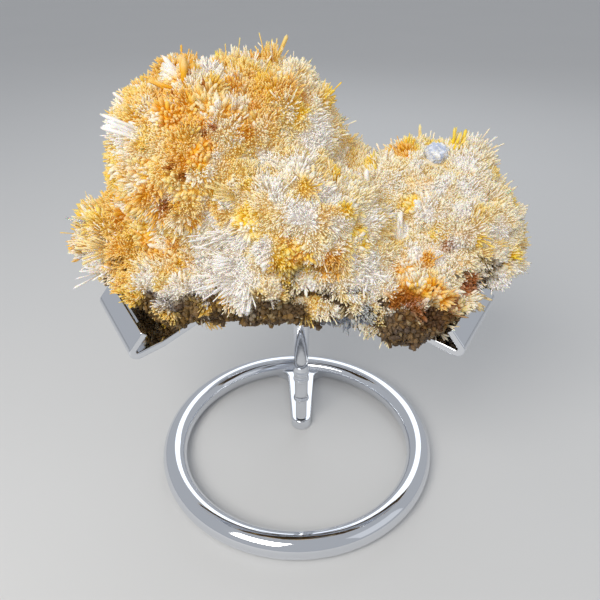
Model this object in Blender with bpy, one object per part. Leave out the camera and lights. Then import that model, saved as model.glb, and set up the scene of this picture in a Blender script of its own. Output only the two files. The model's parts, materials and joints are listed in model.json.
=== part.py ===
"""Creedite crystal cluster cradled on a polished ring stand. Metres, +Z up.

The origin is on the surface the stand rests on, under the middle of the object.
The camera side of the object is -Y.
"""
import math
import random
from itertools import pairwise

import bmesh
import bpy
from mathutils import Matrix, Vector, noise
from mathutils.bvhtree import BVHTree

MM = 0.001
SEED = 11
GAP = 0.3 * MM

# Ring base, a round bar with a flat ground on its underside
RING_DIAMETER = 60.0 * MM
BAR_DIAMETER = 5.2 * MM
FOOT_FLAT_DEPTH = 0.3 * MM
RING_SEGMENTS = 60
BAR_SEGMENTS = 12

# Tongue that runs in from the back of the ring and carries the post
POST_X = 1.0 * MM
POST_Y = 7.2 * MM
TONGUE_HEIGHT = 2.6 * MM
TONGUE_TIP_RADIUS = 2.3 * MM
TONGUE_TIP_SET_BACK = 0.5 * MM
TONGUE_ROOT_HALF_WIDTH = 3.3 * MM
TONGUE_FLARE = 3.0 * MM
TONGUE_TIP_STEPS = 6
TONGUE_FLARE_STEPS = 5

# Post, turned, thin at the foot and widening towards the hub
POST_FOOT_RADIUS = 1.3 * MM
POST_BEAD_RADIUS = 1.8 * MM
POST_WAIST_RADIUS = 1.5 * MM
POST_TOP_RADIUS = 2.2 * MM
POST_BEAD_HEIGHTS = (8.8 * MM, 14.6 * MM, 16.4 * MM)
POST_BEAD_HALF_HEIGHT = 0.8 * MM
POST_SEGMENTS = 24

# Hub, the round boss that the three arms are joined to
HUB_RADIUS = 6.0 * MM
HUB_BOTTOM = 46.0 * MM
HUB_HEIGHT = 3.4 * MM
HUB_EDGE = 0.8 * MM
HUB_SEGMENTS = 36

# Arms, flat polished bands that slope down from the hub and turn up in a lip
ARM_THICKNESS = 1.3 * MM
ARM_HALF_WIDTH = 9.5 * MM
ARM_ROOT_HALF_WIDTH = 4.0 * MM
ARM_SLOPE = math.radians(12)
ARM_BEND_HEIGHT = 40.9 * MM
LIP_LEAN_IN = 4.0 * MM
LIP_RISE = 4.6 * MM
BEND_RADIUS = 0.9 * MM
ARM_SHOULDER = 7.0 * MM
BEND_STEPS = 5
ARMS = {
    "arm_left": (math.radians(210), 39.2 * MM),
    "arm_right": (math.radians(330), 37.6 * MM),
    "arm_back": (math.radians(90), 22.5 * MM),
}

# Room that the cluster leaves for the arms
SEAT_SIDE_CLEARANCE = 0.6 * MM
SEAT_LIP_CLEARANCE = 0.4 * MM
SEAT_LIP_RAMP = 1.2 * MM
SEAT_OUTREACH = 25.0 * MM
SEAT_BOTTOM = 20.0 * MM

# Lobes of the cluster without their crystals: centre, then half-lengths along X, Y and Z
LOBES = {
    "left_dome": ((-15.7, 3.0, 68.2), (14.0, 15.0, 13.4)),
    "left_low": ((-29.0, 0.0, 53.5), (8.4, 10.0, 7.8)),
    "left_bottom": ((-20.0, -10.0, 49.0), (8.0, 8.0, 6.5)),
    "middle_top": ((-4.6, 5.0, 73.6), (9.8, 10.0, 8.4)),
    "middle_front": ((0.7, -8.5, 60.0), (11.0, 10.0, 9.5)),
    "middle_low": ((-5.0, -13.5, 51.5), (7.5, 6.0, 6.2)),
    "middle_low_right": ((8.5, -12.0, 50.5), (7.5, 6.0, 6.2)),
    "middle_core": ((2.0, 7.0, 58.5), (16.0, 14.0, 8.0)),
    "back_left": ((-15.0, 13.0, 60.0), (13.5, 11.0, 10.5)),
    "back_middle": ((0.5, 17.5, 56.0), (12.5, 8.5, 8.5)),
    "back_right": ((19.5, 11.0, 54.0), (12.5, 10.5, 8.0)),
    "right_dome": ((27.6, 0.5, 54.6), (11.2, 13.0, 10.5)),
    "right_top": ((20.0, 2.0, 62.5), (6.2, 8.0, 6.2)),
    "right_shoulder": ((28.4, 5.0, 63.2), (5.4, 7.0, 5.4)),
    "right_low": ((20.0, -13.5, 46.8), (7.2, 6.5, 6.4)),
    "right_tail": ((35.6, 3.5, 46.5), (5.6, 8.0, 6.4)),
}
LOBE_SUBDIVISIONS = 4
SURFACE_STEP = 3.9 * MM
LUMP_SIZE = 7.0 * MM
LUMP_HEIGHT = 1.6 * MM

# Crystals, grown from the faces of the cluster
CRYSTAL_LENGTHS = (3.0 * MM, 5.8 * MM)
CRYSTAL_TAPER = (0.5, 0.72)
CRYSTAL_JITTER = 0.16
TIP_SHARE = (0.18, 0.36)
STUB_SHARE = 0.42
STUB_HEIGHTS = (0.9 * MM, 2.2 * MM)
CLEAR_SHARE = 0.3
HOLLOW_LIMIT = 0.12
SMALL_FACE_SHARE = 0.3
ROOM_TESTS = 5
UNDERSIDE_NORMAL = -0.3


def clear_scene():
    """Removes whatever the file holds."""
    for item in list(bpy.data.objects):
        bpy.data.objects.remove(item, do_unlink=True)


def make_material(name, colour, roughness, metallic=0.0):
    """A Principled material with the part's colour, roughness and metallic value."""
    material = bpy.data.materials.new(name)
    material.use_nodes = True
    shader = material.node_tree.nodes["Principled BSDF"]
    shader.inputs["Base Color"].default_value = (*colour, 1.0)
    shader.inputs["Roughness"].default_value = roughness
    shader.inputs["Metallic"].default_value = metallic
    return material


def add_object(name, bm, material=None, smooth_angle=None):
    """Makes a named object of a bmesh, shaded smooth up to an angle if one is given."""
    bmesh.ops.recalc_face_normals(bm, faces=bm.faces)
    mesh = bpy.data.meshes.new(name)
    bm.to_mesh(mesh)
    bm.free()
    if smooth_angle is not None:
        mesh.shade_smooth()
        mesh.set_sharp_from_angle(angle=smooth_angle)
    if material:
        mesh.materials.append(material)
    item = bpy.data.objects.new(name, mesh)
    bpy.context.collection.objects.link(item)
    return item


def evaluated_copy(item):
    """A bmesh of an object as its modifiers leave it."""
    bpy.context.view_layer.update()
    shape = item.evaluated_get(bpy.context.evaluated_depsgraph_get())
    bm = bmesh.new()
    bm.from_mesh(shape.to_mesh())
    shape.to_mesh_clear()
    return bm


def cut_mesh(base, other, operation):
    """A bmesh of the exact Boolean of two helper objects, which are removed."""
    cut = base.modifiers.new(operation.lower(), "BOOLEAN")
    cut.operation = operation
    cut.solver = "EXACT"
    cut.object = other
    bm = evaluated_copy(base)
    for helper in (base, other):
        bpy.data.objects.remove(helper, do_unlink=True)
    return bm


def combine(name, base, other, operation, material=None, smooth_angle=None):
    """An object made by an exact Boolean of two helper objects."""
    return add_object(name, cut_mesh(base, other, operation), material, smooth_angle)


def extrude_outline(points, bottom, top):
    """A bmesh prism of a plan outline."""
    bm = bmesh.new()
    face = bm.faces.new([bm.verts.new((x, y, bottom)) for x, y in points])
    grown = bmesh.ops.extrude_face_region(bm, geom=[face])["geom"]
    raised = [part for part in grown if isinstance(part, bmesh.types.BMVert)]
    bmesh.ops.translate(bm, verts=raised, vec=(0.0, 0.0, top - bottom))
    return bm


def turn_profile(points, segments):
    """A bmesh solid turned about Z from a profile of radius and height pairs."""
    bm = bmesh.new()
    rings = []
    for radius, height in points:
        ring = []
        for step in range(segments):
            angle = 2 * math.pi * step / segments
            ring.append(bm.verts.new((radius * math.cos(angle), radius * math.sin(angle), height)))
        rings.append(ring)
    for low, high in pairwise(rings):
        for step in range(segments):
            after = (step + 1) % segments
            bm.faces.new((low[step], low[after], high[after], high[step]))
    bm.faces.new(rings[0])
    bm.faces.new(rings[-1])
    return bm


def bar_ring():
    """The ring's round bar, closed on itself, with its flat on the ground."""
    bar_radius = BAR_DIAMETER / 2
    path_radius = RING_DIAMETER / 2 - bar_radius
    centre_height = bar_radius - FOOT_FLAT_DEPTH
    flat_angle = math.acos(centre_height / bar_radius)
    start = -math.pi / 2 + flat_angle
    sweep = 2 * math.pi - 2 * flat_angle
    section = []
    for step in range(BAR_SEGMENTS + 1):
        angle = start + sweep * step / BAR_SEGMENTS
        reach = path_radius + bar_radius * math.cos(angle)
        section.append((reach, centre_height + bar_radius * math.sin(angle)))
    bm = bmesh.new()
    rings = []
    for step in range(RING_SEGMENTS):
        turn = 2 * math.pi * step / RING_SEGMENTS
        rings.append([bm.verts.new((r * math.cos(turn), r * math.sin(turn), z)) for r, z in section])
    for step, ring in enumerate(rings):
        after = rings[(step + 1) % RING_SEGMENTS]
        for index in range(len(section)):
            following = (index + 1) % len(section)
            bm.faces.new((ring[index], after[index], after[following], ring[following]))
    return bm


def tongue_outline():
    """Plan of the tongue: round tip, straight taper, then a flare into the ring."""
    ring_inner = RING_DIAMETER / 2 - BAR_DIAMETER
    root_y = RING_DIAMETER / 2 - BAR_DIAMETER / 2
    right = []
    for step in range(TONGUE_TIP_STEPS + 1):
        angle = -math.pi / 2 + math.pi / 2 * step / TONGUE_TIP_STEPS
        y = POST_Y + TONGUE_TIP_SET_BACK + TONGUE_TIP_RADIUS * math.sin(angle)
        right.append((TONGUE_TIP_RADIUS * math.cos(angle), y))
    for step in range(TONGUE_FLARE_STEPS + 1):
        angle = math.pi / 2 * step / TONGUE_FLARE_STEPS
        x = TONGUE_ROOT_HALF_WIDTH + TONGUE_FLARE * (1 - math.cos(angle))
        y = ring_inner - TONGUE_FLARE * (1 - math.sin(angle))
        right.append((x, y))
    right.append((TONGUE_ROOT_HALF_WIDTH + TONGUE_FLARE, root_y))
    left = [(-x, y) for x, y in reversed(right[1:])]
    return [(POST_X + x, y) for x, y in right + left]


def build_ring_base(material):
    """Ring and tongue, made as one piece."""
    ring = add_object("ring_bar", bar_ring())
    tongue = add_object("tongue", extrude_outline(tongue_outline(), 0.0, TONGUE_HEIGHT))
    return combine("ring_base", ring, tongue, "UNION", material, math.radians(35))


def build_post(material):
    """Turned post with one bead near its foot and a pair above it."""
    foot = TONGUE_HEIGHT + GAP
    top = HUB_BOTTOM - GAP
    half = POST_BEAD_HALF_HEIGHT
    profile = [(POST_FOOT_RADIUS, foot)]
    below = POST_FOOT_RADIUS
    for height in POST_BEAD_HEIGHTS:
        profile += [(below, height - half), (POST_BEAD_RADIUS, height - half / 2)]
        profile += [(POST_BEAD_RADIUS, height + half / 2), (POST_WAIST_RADIUS, height + half)]
        below = POST_WAIST_RADIUS
    profile.append((POST_TOP_RADIUS, top))
    post = add_object("post", turn_profile(profile, POST_SEGMENTS), material, math.radians(40))
    post.location = (POST_X, POST_Y, 0.0)
    return post


def hub_profile(grow=0.0):
    """Radius and height pairs of the hub, larger all round by an allowance."""
    bottom = HUB_BOTTOM - grow
    top = HUB_BOTTOM + HUB_HEIGHT + grow
    radius = HUB_RADIUS + grow
    inner = radius - HUB_EDGE
    return [(inner, bottom), (radius, bottom + HUB_EDGE), (radius, top - HUB_EDGE), (inner, top)]


def build_hub(material):
    """Round boss at the post's top."""
    hub = add_object("hub", turn_profile(hub_profile(), HUB_SEGMENTS), material, math.radians(30))
    hub.location = (POST_X, POST_Y, 0.0)
    return hub


def arm_middle_line(bend_reach):
    """Radius and height pairs along the middle of an arm's thickness, hub to lip."""
    root_reach = HUB_RADIUS + GAP + ARM_THICKNESS * math.tan(ARM_SLOPE)
    root = Vector((root_reach, ARM_BEND_HEIGHT + (bend_reach - root_reach) * math.tan(ARM_SLOPE)))
    bend = Vector((bend_reach, ARM_BEND_HEIGHT))
    tip = bend + Vector((-LIP_LEAN_IN, LIP_RISE))
    into = (root - bend).normalized()
    away = (tip - bend).normalized()
    half_turn = into.angle(away) / 2
    setback = BEND_RADIUS / math.tan(half_turn)
    centre = bend + (into + away).normalized() * (BEND_RADIUS / math.sin(half_turn))
    first = (bend + into * setback - centre).normalized()
    last = (bend + away * setback - centre).normalized()
    shoulder = bend + into * ARM_SHOULDER
    line = [root, shoulder]
    for step in range(BEND_STEPS + 1):
        line.append(centre + first.slerp(last, step / BEND_STEPS) * BEND_RADIUS)
    line.append(tip)
    return line


def arm_half_width(reach, bend_reach):
    """Half the arm's width at a distance from the post, widening from hub to shoulder."""
    shoulder = bend_reach - ARM_SHOULDER * math.cos(ARM_SLOPE)
    share = min(1.0, max(0.0, (reach - HUB_RADIUS) / (shoulder - HUB_RADIUS)))
    return ARM_ROOT_HALF_WIDTH + (ARM_HALF_WIDTH - ARM_ROOT_HALF_WIDTH) * share


def arm_mesh(bend_reach):
    """A bmesh of one bent band, pointing along +X from the post's axis."""
    line = arm_middle_line(bend_reach)
    bm = bmesh.new()
    sections = []
    for index, point in enumerate(line):
        before = line[max(index - 1, 0)]
        after = line[min(index + 1, len(line) - 1)]
        along = (after - before).normalized()
        across = Vector((-along.y, along.x)) * ARM_THICKNESS / 2
        wide = arm_half_width(point.x, bend_reach) if index == 0 else ARM_HALF_WIDTH
        corners = []
        for side, face in ((-1, 1), (1, 1), (1, -1), (-1, -1)):
            spot = point + across * face
            corners.append(bm.verts.new((spot.x, side * wide, spot.y)))
        sections.append(corners)
    for low, high in pairwise(sections):
        for index in range(4):
            following = (index + 1) % 4
            bm.faces.new((low[index], low[following], high[following], high[index]))
    bm.faces.new(sections[0])
    bm.faces.new(sections[-1])
    return bm


def arm_placement(azimuth):
    """Matrix that turns an arm about the post's axis."""
    return Matrix.Translation((POST_X, POST_Y, 0.0)) @ Matrix.Rotation(azimuth, 4, "Z")


def build_arm(name, azimuth, bend_reach, material):
    """One arm, joined to the hub at its inner end."""
    arm = add_object(name, arm_mesh(bend_reach), material, math.radians(25))
    arm.matrix_world = arm_placement(azimuth)
    return arm


def seat_profile(bend_reach):
    """Reach and top height pairs of the room an arm needs, from the hub outwards."""
    line = arm_middle_line(bend_reach)
    root, tip = line[0], line[-1]
    lift = (ARM_THICKNESS / 2 + GAP) / math.cos(ARM_SLOPE)
    inner = tip.x - lift - SEAT_LIP_CLEARANCE
    foot = inner - SEAT_LIP_RAMP
    shoulder = line[1]
    return [
        (HUB_RADIUS, root.y + lift),
        (shoulder.x, shoulder.y + lift),
        (foot, root.y + lift - (foot - root.x) * math.tan(ARM_SLOPE)),
        (inner, tip.y + lift),
        (bend_reach + SEAT_OUTREACH, tip.y + lift),
    ]


def seat_half_width(reach, bend_reach):
    """Half the width of the room an arm needs, at a distance from the post."""
    return arm_half_width(reach, bend_reach) + SEAT_SIDE_CLEARANCE


def seat_cutter():
    """The room that the arms need under and around the cluster, one block for each."""
    bm = bmesh.new()
    for azimuth, bend_reach in ARMS.values():
        sections = []
        for reach, top in seat_profile(bend_reach):
            wide = seat_half_width(reach, bend_reach)
            corners = ((-wide, SEAT_BOTTOM), (wide, SEAT_BOTTOM), (wide, top), (-wide, top))
            sections.append([bm.verts.new((reach, y, z)) for y, z in corners])
        for near, far in pairwise(sections):
            for index in range(4):
                following = (index + 1) % 4
                bm.faces.new((near[index], near[following], far[following], far[index]))
        bm.faces.new(sections[0])
        bm.faces.new(sections[-1])
        corners = [vert for section in sections for vert in section]
        bmesh.ops.transform(bm, matrix=arm_placement(azimuth), verts=corners)
    return bm


def in_arm_room(point):
    """Whether a point lies in the room that the arms and the hub need."""
    away = Vector((point.x - POST_X, point.y - POST_Y))
    if away.length < HUB_RADIUS + GAP and point.z < HUB_BOTTOM + HUB_HEIGHT + GAP:
        return True
    for azimuth, bend_reach in ARMS.values():
        local = Matrix.Rotation(-azimuth, 3, "Z") @ (point - Vector((POST_X, POST_Y, 0.0)))
        for (low, low_top), (high, high_top) in pairwise(seat_profile(bend_reach)):
            if low <= local.x <= high and abs(local.y) < seat_half_width(local.x, bend_reach):
                top = low_top + (high_top - low_top) * (local.x - low) / (high - low)
                return local.z < top
    return False


def spread_over(face):
    """Points spread evenly over a four-sided face."""
    first, second, third, fourth = (vert.co for vert in face.verts)
    shares = [step / ROOM_TESTS for step in range(ROOM_TESTS + 1)]
    return [first.lerp(second, u).lerp(fourth.lerp(third, u), v) for u in shares for v in shares]


def above_hub(face, growth=Vector((0.0, 0.0, 0.0))):
    """Whether a face, and what grows from it, is higher than the arms and the hub."""
    lowest = min(vert.co.z for vert in face.verts) + min(growth.z, 0.0)
    return lowest > HUB_BOTTOM + HUB_HEIGHT + GAP


def lobe_union():
    """A bmesh of the cluster's lobes, joined and stepped into even four-sided faces."""
    bm = bmesh.new()
    for centre, radii in LOBES.values():
        size = Matrix.Diagonal((*(Vector(radii) * MM), 1.0))
        place = Matrix.Translation(Vector(centre) * MM) @ size
        bmesh.ops.create_icosphere(bm, subdivisions=LOBE_SUBDIVISIONS, radius=1.0, matrix=place)
    for vert in bm.verts:
        vert.co += vert.normal * LUMP_HEIGHT * noise.noise(vert.co / LUMP_SIZE)
    lobes = add_object("lobes", bm)
    remesh = lobes.modifiers.new("remesh", "REMESH")
    remesh.mode = "VOXEL"
    remesh.voxel_size = SURFACE_STEP
    remesh.adaptivity = 0.0
    joined = evaluated_copy(lobes)
    bpy.data.objects.remove(lobes, do_unlink=True)
    return joined


def seated_lobes():
    """A bmesh of the joined lobes, cut clear of the arms and the hub.

    The faces that the cut crosses are made flat first, as triangles, so that the
    cut stays true.
    """
    bm = lobe_union()
    crossed = []
    for face in bm.faces:
        if not above_hub(face) and any(in_arm_room(point) for point in spread_over(face)):
            crossed.append(face)
    bmesh.ops.triangulate(bm, faces=crossed)
    hub_room = add_object("hub_room", turn_profile(hub_profile(GAP), HUB_SEGMENTS))
    hub_room.location = (POST_X, POST_Y, 0.0)
    seat = add_object("seat", seat_cutter())
    clear = combine("clear_lobes", add_object("joined_lobes", bm), seat, "DIFFERENCE")
    return cut_mesh(clear, hub_room, "DIFFERENCE")


def hollow_amount(face):
    """How far a face lies in a hollow: above zero where its neighbours stand up around it."""
    total = 0.0
    count = 0
    for edge in face.edges:
        for other in edge.link_faces:
            if other is not face:
                toward = (other.calc_center_median() - face.calc_center_median()).normalized()
                total += toward.dot(face.normal)
                count += 1
    return total / max(count, 1)


def free_length(tree, start, direction, wanted):
    """The wanted length, or less where another part of the surface is close ahead."""
    distance = tree.ray_cast(start + direction * GAP, direction, wanted / CLEAR_SHARE)[3]
    return wanted if distance is None else min(wanted, distance * CLEAR_SHARE)


def enters_arm_room(face, growth):
    """Whether a crystal on a face would reach into the room of the arms and the hub."""
    if above_hub(face, growth):
        return False
    steps = [growth * step / ROOM_TESTS for step in range(1, ROOM_TESTS + 1)]
    return any(in_arm_room(start + step) for start in spread_over(face) for step in steps)


def plan_crystal(face, tree, rng):
    """Direction, length and kind of the crystal on a face, or nothing where it stays flat."""
    lean = Vector((rng.uniform(-1, 1), rng.uniform(-1, 1), rng.uniform(-1, 1))) * CRYSTAL_JITTER
    direction = (face.normal + lean).normalized()
    low_side = face.normal.z < UNDERSIDE_NORMAL or hollow_amount(face) > HOLLOW_LIMIT
    stub = rng.random() < STUB_SHARE or low_side
    wanted = rng.uniform(*(STUB_HEIGHTS if stub else CRYSTAL_LENGTHS))
    if len(face.verts) != 4 or face.calc_area() < SMALL_FACE_SHARE * SURFACE_STEP ** 2:
        return None
    length = free_length(tree, face.calc_center_median(), direction, wanted)
    if enters_arm_room(face, direction * length):
        return None
    return direction, length, stub


def grow_crystals(bm, rng):
    """Turns the free faces of the cluster into blunt crystals and low pointed stubs."""
    bmesh.ops.recalc_face_normals(bm, faces=bm.faces)
    bm.normal_update()
    tree = BVHTree.FromBMesh(bm)
    plans = [(face, plan_crystal(face, tree, rng)) for face in bm.faces]
    for face, plan in plans:
        if plan is None:
            continue
        direction, length, stub = plan
        tip_height = length
        if not stub:
            face = bmesh.ops.extrude_discrete_faces(bm, faces=[face])["faces"][0]
            centre = face.calc_center_median()
            taper = rng.uniform(*CRYSTAL_TAPER)
            tip_height *= rng.uniform(*TIP_SHARE)
            for vert in face.verts:
                vert.co = centre + (vert.co - centre) * taper + direction * (length - tip_height)
        apex = bmesh.ops.poke(bm, faces=[face], center_mode="MEAN")["verts"][0]
        apex.co += direction * tip_height


def build_cluster(material):
    """The cluster: one natural piece, its lobes covered with crystals."""
    bm = seated_lobes()
    grow_crystals(bm, random.Random(SEED))
    bmesh.ops.triangulate(bm, faces=bm.faces)
    return add_object("creedite_cluster", bm, material)


def centre_on_origin(objects):
    """Moves the whole object sideways, so that its box is centred over the origin."""
    bpy.context.view_layer.update()
    corners = [item.matrix_world @ Vector(corner) for item in objects for corner in item.bound_box]
    for axis in (0, 1):
        places = [corner[axis] for corner in corners]
        middle = (min(places) + max(places)) / 2
        for item in objects:
            item.location[axis] -= middle


def main():
    clear_scene()
    chrome = make_material("polished_metal", (0.62, 0.66, 0.70), 0.08, 1.0)
    creedite = make_material("creedite", (0.86, 0.62, 0.34), 0.35)
    pieces = [build_ring_base(chrome), build_post(chrome), build_hub(chrome)]
    for name, (azimuth, bend_reach) in ARMS.items():
        pieces.append(build_arm(name, azimuth, bend_reach, chrome))
    pieces.append(build_cluster(creedite))
    centre_on_origin(pieces)


main()
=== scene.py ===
"""Looks of the creedite cluster on its polished ring stand, laid out as a Blender add-on.

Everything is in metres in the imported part's own frame: +Z up, the photographed side faces -Y.
The grown-together stone, its thousands of fine crystals and the stand are each made by an operator.
"""

import json
import math
from itertools import pairwise

import bmesh
import bpy
import numpy as np
from bpy.props import FloatProperty, FloatVectorProperty, IntProperty, PointerProperty
from mathutils import Matrix, Vector
from mathutils.bvhtree import BVHTree
from mathutils.kdtree import KDTree

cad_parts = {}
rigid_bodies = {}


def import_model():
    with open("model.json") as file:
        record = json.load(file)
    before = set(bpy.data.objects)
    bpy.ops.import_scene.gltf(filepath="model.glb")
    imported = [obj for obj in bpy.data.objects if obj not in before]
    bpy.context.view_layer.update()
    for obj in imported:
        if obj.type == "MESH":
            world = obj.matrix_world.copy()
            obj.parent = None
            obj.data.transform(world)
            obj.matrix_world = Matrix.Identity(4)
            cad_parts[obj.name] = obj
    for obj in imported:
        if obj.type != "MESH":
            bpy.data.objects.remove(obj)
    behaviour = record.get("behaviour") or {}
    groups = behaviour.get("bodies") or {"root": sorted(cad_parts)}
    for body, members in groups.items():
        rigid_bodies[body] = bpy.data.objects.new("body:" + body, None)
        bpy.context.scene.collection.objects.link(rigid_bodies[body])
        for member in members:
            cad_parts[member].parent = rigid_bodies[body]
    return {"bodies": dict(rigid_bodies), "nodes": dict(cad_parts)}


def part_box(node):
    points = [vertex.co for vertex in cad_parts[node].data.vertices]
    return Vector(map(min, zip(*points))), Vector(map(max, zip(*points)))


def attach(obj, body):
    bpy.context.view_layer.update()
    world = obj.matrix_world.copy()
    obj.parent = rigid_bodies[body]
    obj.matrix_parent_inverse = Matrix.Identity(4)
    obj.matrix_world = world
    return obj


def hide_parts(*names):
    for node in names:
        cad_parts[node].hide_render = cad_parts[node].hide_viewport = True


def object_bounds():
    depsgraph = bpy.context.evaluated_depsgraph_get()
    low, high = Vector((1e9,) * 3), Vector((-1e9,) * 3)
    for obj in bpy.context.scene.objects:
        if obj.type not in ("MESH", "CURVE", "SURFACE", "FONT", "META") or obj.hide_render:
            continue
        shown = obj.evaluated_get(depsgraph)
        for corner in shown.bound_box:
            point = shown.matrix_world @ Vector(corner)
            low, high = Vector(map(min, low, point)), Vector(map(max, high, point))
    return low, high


bl_info = {
    "name": "Creedite cluster on a ring stand",
    "version": (1, 0, 0),
    "blender": (4, 5, 0),
    "location": "3D View > Sidebar > Creedite",
    "description": "Builds the needle sprays, the stone and the polished stand around the packed part",
    "category": "Object",
}

MM = 0.001
QUARTER = math.pi / 2
SEED = 23
CLUSTER_NODE = "creedite_cluster"
ARM_NODES = ("arm_left", "arm_right", "arm_back")

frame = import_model()
CAD_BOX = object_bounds()

# Camera, as the photograph's perspective gives it
CAMERA_PLACE = (-1.11 * MM, -98.69 * MM, 103.05 * MM)
CAMERA_PITCH = math.radians(32.48)
CAMERA_LENS = 36.0
CAMERA_SENSOR = 36.0
PICTURE_SIZE = 600
PICTURE_MIDDLE = (300, 300)
CLUSTER_SPOT = (300, 210)
SPOT_STEPS = 30

# Steps of the stand's curves
RING_STEPS, BAR_STEPS, TURNED_STEPS, BEND_STEPS, TIP_STEPS = 192, 40, 72, 12, 16
SHAFT_STEPS, BEAD_STEPS, HUB_STEPS = 10, 8, 6

# Stone under the crystals: the solid's own lobes, centre and half-lengths along X, Y and Z in millimetres
LOBES = {
    "left_dome": ((-15.7, 3.0, 68.2), (14.0, 15.0, 13.4)),
    "left_low": ((-29.0, 0.0, 53.5), (8.4, 10.0, 7.8)),
    "left_bottom": ((-20.0, -10.0, 49.0), (8.0, 8.0, 6.5)),
    "middle_top": ((-4.6, 5.0, 73.6), (9.8, 10.0, 8.4)),
    "middle_front": ((0.7, -8.5, 60.0), (11.0, 10.0, 9.5)),
    "middle_low": ((-5.0, -13.5, 51.5), (7.5, 6.0, 6.2)),
    "middle_low_right": ((8.5, -12.0, 50.5), (7.5, 6.0, 6.2)),
    "middle_core": ((2.0, 7.0, 58.5), (16.0, 14.0, 8.0)),
    "back_left": ((-15.0, 13.0, 60.0), (13.5, 11.0, 10.5)),
    "back_middle": ((0.5, 17.5, 56.0), (12.5, 8.5, 8.5)),
    "back_right": ((19.5, 11.0, 54.0), (12.5, 10.5, 8.0)),
    "right_dome": ((27.6, 0.5, 54.6), (11.2, 13.0, 10.5)),
    "right_top": ((20.0, 2.0, 62.5), (6.2, 8.0, 6.2)),
    "right_shoulder": ((28.4, 5.0, 63.2), (5.4, 7.0, 5.4)),
    "right_low": ((20.0, -13.5, 46.8), (7.2, 6.5, 6.4)),
    "right_tail": ((35.6, 3.5, 46.5), (5.6, 8.0, 6.4)),
}
POST_X = 1.0 * MM
STONE_VOXEL = 1.0 * MM
STONE_SMOOTHING = 2
STONE_GROWTH = 0.9 * MM
STONE_MARGIN = 0.35 * MM
VALLEY_FILL = 4.0 * MM
VALLEY_SMOOTHING = 7
LUMP_SIZE = 7.0 * MM
LUMP_HEIGHT = 0.8 * MM
SMALL_LUMP_SIZE = 3.4 * MM
SMALL_LUMP_HEIGHT = 0.4 * MM

# Sprays of needles, and small tufts within them
SPRAY_TRIALS = 6000
SPRAY_SPACING = (3.6 * MM, 8.0 * MM)
SPRAY_DEPTH = (2.4 * MM, 5.5 * MM)
TUFT_SPACING = (1.3 * MM, 3.2 * MM)
TUFT_DEPTH = (1.0 * MM, 2.6 * MM)
NEEDLE_TRIALS = 700000
NEEDLE_LENGTHS = (1.3 * MM, 2.7 * MM)
LONG_SHARE = 0.035
NEEDLE_SINK = 0.7 * MM
FOLLOW_SOLID = 0.2
FAN_RISE = 0.4
CUBE_SHARE = 1.15
PALE_TUFTS = 0.2
ARM_CLEARANCE = 0.2 * MM
STAND_ROOM = 0.4 * MM
SOLID_OVERREACH = 0.5 * MM
SHORTEST_NEEDLE = 0.4 * MM
BACK_SPACING = 1.35
PRISM_SPACING = 2.2
PRISM_WIDTHS = (0.36 * MM, 0.70 * MM)
PRISM_LEVEL, PRISM_RAGGED = 0.5, 0.35
PIECE_TRIANGLE_LIMIT = 195000

# Kinds of crystals
FINE, STOUT, EARTHY, BACK, CLEAR = range(5)
STOUT_FROM = 0.35

# How much of a needle's way comes from its spray, its tuft, the stone's surface and chance
SPRAY_PULL, TUFT_PULL, SURFACE_PULL, WAY_SCATTER = 0.32, 0.4, 0.3, 0.16

# Shares of lengths and widths that differ from tuft to tuft and from crystal to crystal
SPRAY_FILL = 0.62
ROOM_BIAS = 1.4
TUFT_LENGTHS = (0.75, 1.2)
LENGTH_SCATTER = 0.14
LONG_FACTOR = 1.5
TUFT_DOME = 0.14
WIDTH_FACTORS = (0.75, 1.4)
CLEAR_WIDTH = 1.5
EARTH_SHORTER, PATCH_SHORTER, PATCH_LONGER = 0.45, 0.6, 0.42

# Scatter of the tints between tufts and between crystals, and the tints of pale tufts
TUFT_TINTS, CRYSTAL_TINTS = 0.35, 0.12
PALE_TINT, PALE_WHITE = 0.25, 0.5

# How far a needle may be drawn in or out towards the CAD solid, as shares of its length
DRAWN_IN, DRAWN_OUT, SHORTEST_SHARE = 0.75, 1.5, 0.6
SOLID_REACH = 12 * MM

# Shares of its width that shape a crystal: depth, length of the tip, lean of the tip and ridge
CRYSTAL_DEPTHS = (0.55, 0.95)
TIP_LENGTHS = (0.6, 2.4)
TIP_LEAN = 0.4
RIDGE = 0.62
FOOT_TAPER = 0.8

# Where the cluster's crystals are parted into pieces
LEFT_EDGE, RIGHT_EDGE, BACK_EDGE = -13 * MM, 11 * MM, 3 * MM

# Short crystals of the brown stone along the lower edge and underneath; their dark brown is partly the
# stone's own colour and partly painted shade on downward faces
EARTH_AND_SHADE_SLOPE = (-0.05, 0.20)
EARTH_AND_SHADE_TOP = 60.0 * MM
EARTH_AND_SHADE_FADE = 8.0 * MM
EARTH_LEVEL = 0.5
EARTH_LENGTHS = (0.5 * MM, 1.2 * MM)
EARTH_WIDTHS = (0.45 * MM, 0.95 * MM)
EARTH_SPACING = 3.5
EARTH_RAGGED = 0.07
EARTH_SCATTER = 0.4
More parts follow.
